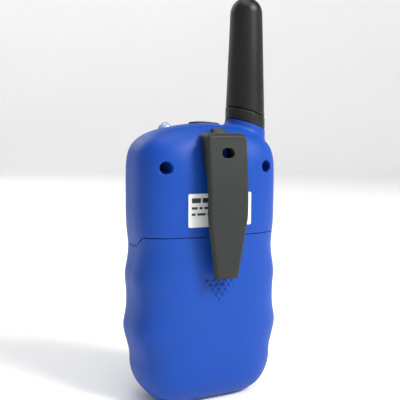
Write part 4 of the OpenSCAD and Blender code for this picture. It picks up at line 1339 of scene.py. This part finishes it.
def label():
    """Rating label: a thin film with rows of plain bars where the print would be."""
    middle, half_h = (LABEL_LOW_Z + LABEL_HIGH_Z) / 2, (LABEL_HIGH_Z - LABEL_LOW_Z) / 2
    skin = Skin()
    skin_plate(skin, (0, middle), (LABEL_HALF_W, half_h, 0.6), lambda x, z: back_y(x, z) + 0.01,
               lambda x, z: back_y(x, z) + 0.12, soft=-0.03, spacing=1.0)
    skin.build("label_film", "case", film, ["label"], "label_film")
    bars = Skin()
    rows = ((76.2, 0.85, (3.4, 2.6, 4.2, 3.0)), (73.5, 0.42, (2.2, 1.2, 3.1, 1.6, 2.4)),
            (71.3, 0.42, (1.4, 3.2, 1.1, 2.6)))
    margin = 11.4
    for z, half, lengths in rows:
        x = margin
        while x > -11.0:
            for length in lengths:
                length = min(length, x + margin)
                if length > 0.5:
                    skin_plate(bars, (x - length / 2, z), (length / 2, half, 0.12),
                               lambda x, z: back_y(x, z) + 0.10, lambda x, z: back_y(x, z) + 0.135,
                               soft=-0.01, spacing=0.8)
                x -= length + 0.7
    bars.build("label_bars", "case", ink, slot="label_film")


# ---------- front: panel, display and keys ----------


def front_panel():
    """Dark panel on the front, with openings for the display and the keys."""
    skin = Skin()
    skin_plate(skin, PANEL[0], grown(PANEL[1], -0.15), lambda x, z: front_y(x, z) + 0.1,
               lambda x, z: front_y(x, z) + 1.2, soft=0.2, spacing=1.1)
    openings = Skin()
    prism(openings, *LCD, -20, -9)
    for centre, half in KEYS.values():
        prism(openings, centre, grown(half, 0.25), -20, -9)
    skin.carve([openings], "front_panel_plate", "case", panel_plastic, ["front_panel"], "panel_plastic")


def display():
    """Display: clear pane over a glass module with a dark surround and faint segments."""
    pane_skin = Skin()
    block(pane_skin, LCD[0], grown(LCD[1], -0.1), 1, -15.9, -14.7, 0.15)
    pane_skin.build("display_pane", "case", pane, ["lcd_window"], "clear_lens")
    frame_skin = Skin()
    block(frame_skin, (0, 83.9), (14.8, 8.9, 0.6), 1, -11.4, -8.4, 0.2)
    frame_skin.build("display_frame", "case", black_part, ["lcd_module"], "lcd_glass")
    glass = Skin()
    block(glass, LCD[0], (13.5, 7.6, 0.4), 1, -13.2, -11.4, 0.12)
    glass.build("display_glass", "case", lcd_glass, slot="lcd_glass")
    border = Skin()
    ring_out, ring_in = rounded_outline(13.4, 7.5, 0.4, 5), rounded_outline(12.4, 6.5, 0.3, 5)
    under, top = -13.19, -13.24
    corners = ((ring_out, under), (ring_out, top), (ring_in, top), (ring_in, under))
    ids = border.add(np.array([placed(flat + LCD[0], 1, y) for flat, y in corners]))
    border.grid(np.concatenate([ids, ids[:1]]), close=True)
    border.build("display_border", "case", black_part, slot="lcd_glass")
    marks = Skin()
    for centre, half in segments():
        block(marks, centre, half, 1, -13.23, -13.19, 0.01, steps=1)
    marks.build("display_segments", "case", segment_ink, slot="lcd_glass")


def segments():
    """Bars of two seven-segment digits and a row of level bars, as on any such display."""
    for x in (-4.2, 2.2):
        for dz in (-3.6, 0, 3.6):
            yield (x, 84.0 + dz), (1.35, 0.3, 0.2)
        for dx in (-1.8, 1.8):
            for dz in (-1.8, 1.8):
                yield (x + dx, 84.0 + dz), (0.3, 1.35, 0.2)
    for k in range(5):
        yield (8.0 + 0.9 * k, 79.4 + 0.3 * k), (0.28, 0.5 + 0.3 * k, 0.1)


def keys():
    """Rubber keys with soft crowns, wider feet and plain printed marks."""
    face, root = -FRONT - 0.9, -11.6
    for name, (centre, half) in KEYS.items():
        skin = Skin()
        along = (5, 3)
        crown_rings = []
        for inset, drop in ((0, 4.9), (0, 0.55), (0.06, 0.3), (0.2, 0.12), (0.42, 0.03), (0.8, 0.0),
                            (1.5, 0.0)):
            flat = rounded_outline(*grown(half, -inset), 9, along) + centre
            crown_rings.append(placed(flat, 1, face + drop))
        foot = [placed(rounded_outline(*grown(half, 0.7 - g), 9, along) + centre, 1, y)
                for g, y in ((0.1, root + 1.0), (0, root + 0.9), (0, root + 0.1), (0.1, root))]
        rings = foot + [placed(rounded_outline(*half, 9, along) + centre, 1, root)] + crown_rings
        skin.stack(rings)
        skin.build(f"key_{name}_cap", f"{name}_key", key_rubber, [f"key_{name}"], "key_rubber")
        mark = Skin()
        for outline in key_marks(name):
            flat = np.array(outline) + centre
            rings = [placed(flat, 1, face + 0.02), placed(flat, 1, face - 0.02)]
            mark.stack(rings)
        mark.build(f"key_{name}_mark", f"{name}_key", mark_paint, slot="key_rubber")


def key_marks(name):
    """Plain marks: arrows on the volume keys, bars or a dot on the others."""
    if name in ("up", "down"):
        s = 1 if name == "up" else -1
        return [[(-1.3, -0.6 * s), (1.3, -0.6 * s), (0, 1.0 * s)]]
    if name == "menu":
        return [[(-1.5, z - 0.17), (1.5, z - 0.17), (1.5, z + 0.17), (-1.5, z + 0.17)]
                for z in (-0.9, 0, 0.9)]
    turn = np.arange(20) * 2 * np.pi / 20
    if name == "call":
        return [[(0.8 * math.cos(t), 0.8 * math.sin(t)) for t in turn]]
    return [[(x - 0.2, -0.8), (x + 0.2, -0.8), (x + 0.2, 0.8), (x - 0.2, 0.8)] for x in (-0.8, 0, 0.8)]


def membrane():
    """Silicone sheet behind the keys, with a low dome under each."""
    skin = Skin()
    block(skin, (0, 60.5), (16.0, 12.9, 3.0), 1, -9.6, -8.4, 0.2)
    for centre, _ in KEYS.values():
        turned_y(skin, centre, [(2.5, -9.5), (2.3, -9.62), (2.0, -9.7)], 32)
    skin.build("keypad_sheet", "case", silicone, ["keypad_membrane"], "keypad_silicone")


# ---------- push-to-talk key ----------


def ptt():
    """Long key on the side, with a soft crown and grip ridges, and the switch behind it."""
    skin = Skin()

    def ring(inset, lift, ridges=0.0):
        flat = rounded_outline(PTT_HALF_D - inset, PTT_HALF_H - inset, max(PTT_CORNER - inset, 0), 9, (6, 22))
        y, z = (flat + (PTT_Y, PTT_Z)).T
        wavy = ridges * np.clip(np.cos((z - PTT_Z) * 2 * np.pi / 1.8), 0, 1) * (np.abs(z - PTT_Z) < 5.4)
        return np.stack([-(flank_x(y, z) + lift + wavy), y, z], -1)

    edge = ((3.6, -2.2), (0.3, -2.2), (0, -2.0), (0, 0.35), (0.08, 0.6), (0.3, 0.78), (0.7, 0.86))
    rings = [ring(inset, lift) for inset, lift in edge]
    rings += [ring(i, PTT_PROUD - 0.02 - 0.02 * (3.6 - i), 0.28 if 1.0 < i < 3.61 else 0.0)
              for i in (1.0, 1.25, 1.6, 2.0, 2.5, 3.0, 3.6)]
    skin.rings(skin.add(rings[0]), rings[1:], cap=False)
    block(skin, (PTT_Y, PTT_Z), (1.5, 6.0, 0.4), 0, -26.0, -23.4, 0.15)
    skin.build("ptt_cap", "ptt", ptt_plastic, ["ptt_button"], "ptt_plastic")
    switch = Skin()
    block(switch, (-4.9, PTT_Z), (2.3, 3.5, 0.3), 0, -21.8, -17.8, 0.2)
    switch.build("ptt_switch_body", "case", black_part, ["ptt_switch"], "black_part")
    plunger = Skin()
    block(plunger, (-4.2, PTT_Z), (1.0, 1.4, 0.3), 0, -22.0, -21.7, 0.08)
    plunger.build("ptt_switch_plunger", "case", steel, slot="plated_steel")


# ---------- stage ----------


def sweep():
    """Plain pale floor that curves up far behind the object on every side."""
    turn = np.arange(96) * 2 * np.pi / 96
    profile = [(0.4, 0.0), (0.8, 0.0), (1.4, 0.0)]
    profile += [(1.4 + 0.6 * math.sin(t), 0.6 - 0.6 * math.cos(t)) for t in np.linspace(0, np.pi / 2, 16)[1:]]
    profile += [(2.0, 1.1)]
    mesh = bpy.data.meshes.new("floor_sweep")
    bm = bmesh.new()
    rings = [[bm.verts.new((r * math.cos(a), r * math.sin(a), z)) for a in turn] for r, z in profile]
    bm.faces.new(rings[0])
    for a, b in zip(rings, rings[1:]):
        for k in range(96):
            m = (k + 1) % 96
            bm.faces.new((a[k], a[m], b[m], b[k]))
    bmesh.ops.recalc_face_normals(bm, faces=bm.faces)
    bm.to_mesh(mesh)
    bm.free()
    mesh.shade_smooth()
    shader = Shader("floor_paint", Roughness=0.8)
    shader.set("Base Color", shader.blend(shader.noise(300.0), linear(250, 250, 251), linear(253, 253, 253)))
    mesh.materials.append(shader.material)
    floor = bpy.data.objects.new("floor_sweep", mesh)
    bpy.context.scene.collection.objects.link(floor)


def area_light(name, place, target, size, power):
    """A round soft light that faces a target."""
    data = bpy.data.lights.new(name, "AREA")
    data.shape, data.size, data.energy = "DISK", size, power
    lamp = bpy.data.objects.new(name, data)
    lamp.location = place
    lamp.rotation_euler = (Vector(target) - Vector(place)).to_track_quat("-Z", "Y").to_euler()
    bpy.context.scene.collection.objects.link(lamp)


def camera():
    """Behind and to the left of the radio, as in the photograph."""
    azimuth, pitch, roll = (math.radians(a) for a in (25.82, 5.75, 0.35))
    right = Vector((-math.cos(azimuth), math.sin(azimuth), 0))
    ahead = Vector((-math.sin(azimuth), -math.cos(azimuth), 0))
    level = Vector((0, 0, 1))
    forward = ahead * math.cos(pitch) - level * math.sin(pitch)
    up = level * math.cos(pitch) + ahead * math.sin(pitch)
    x_axis = right * math.cos(roll) + up * math.sin(roll)
    y_axis = up * math.cos(roll) - right * math.sin(roll)
    data = bpy.data.cameras.new("camera")
    data.lens, data.sensor_width = 59.24, 36.0
    data.clip_start, data.clip_end = 0.01, 20.0
    lens = bpy.data.objects.new("camera", data)
    turn = Matrix((x_axis, y_axis, -forward)).transposed()
    lens.matrix_world = Matrix.Translation((0.10863, 0.22420, 0.09960)) @ turn.to_4x4()
    bpy.context.scene.collection.objects.link(lens)
    bpy.context.scene.camera = lens


def light():
    """Weak surroundings, a key from the picture's upper right, two fills and two backdrop lights."""
    world = bpy.data.worlds.new("studio")
    world.use_nodes = True
    world.node_tree.nodes["Background"].inputs["Color"].default_value = (1.0, 1.0, 1.0, 1.0)
    world.node_tree.nodes["Background"].inputs["Strength"].default_value = 0.12
    bpy.context.scene.world = world
    middle = (0, 0, 0.07)
    area_light("key", (-0.50, 0.75, 0.80), middle, 0.45, 18.0)
    area_light("top", (0.1, 0.1, 1.2), middle, 0.6, 4.0)
    area_light("front", (0.3, -1.0, 0.8), middle, 0.8, 4.0)
    for side in (-1, 1):
        area_light("backdrop", (0, 0.6 * side, 1.5), (0.7 * side, 2.0 * side, 0.3), 1.0, 8.0)
    bpy.context.scene.view_settings.view_transform = "Standard"


PIECES = (rear_case, clip_rail, battery_door, front_case, antenna, belt_clip, battery_tub, case_collar,
          cells, springs, screws, torch, jack, jack_flap, label, front_panel, display, keys, membrane, ptt)
for make in PIECES:
    make()

# CAD nodes inside the case that keep their shape and get a detailed material
FINISH = {
    "main_pcb": board, "rf_shield": steel, "main_chip": black_part, "speaker_frame": steel,
    "speaker_cone": cone_paper, "speaker_felt": felt, "microphone": steel, "microphone_boot": black_part,
    "antenna_coil": brass, "antenna_former": nylon, "antenna_stud": brass, "antenna_contact": brass,
}
for node, finish in FINISH.items():
    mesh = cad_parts[node].data
    mesh.materials.clear()
    mesh.materials.append(finish)
sweep()
light()
camera()

bpy.context.view_layer.update()
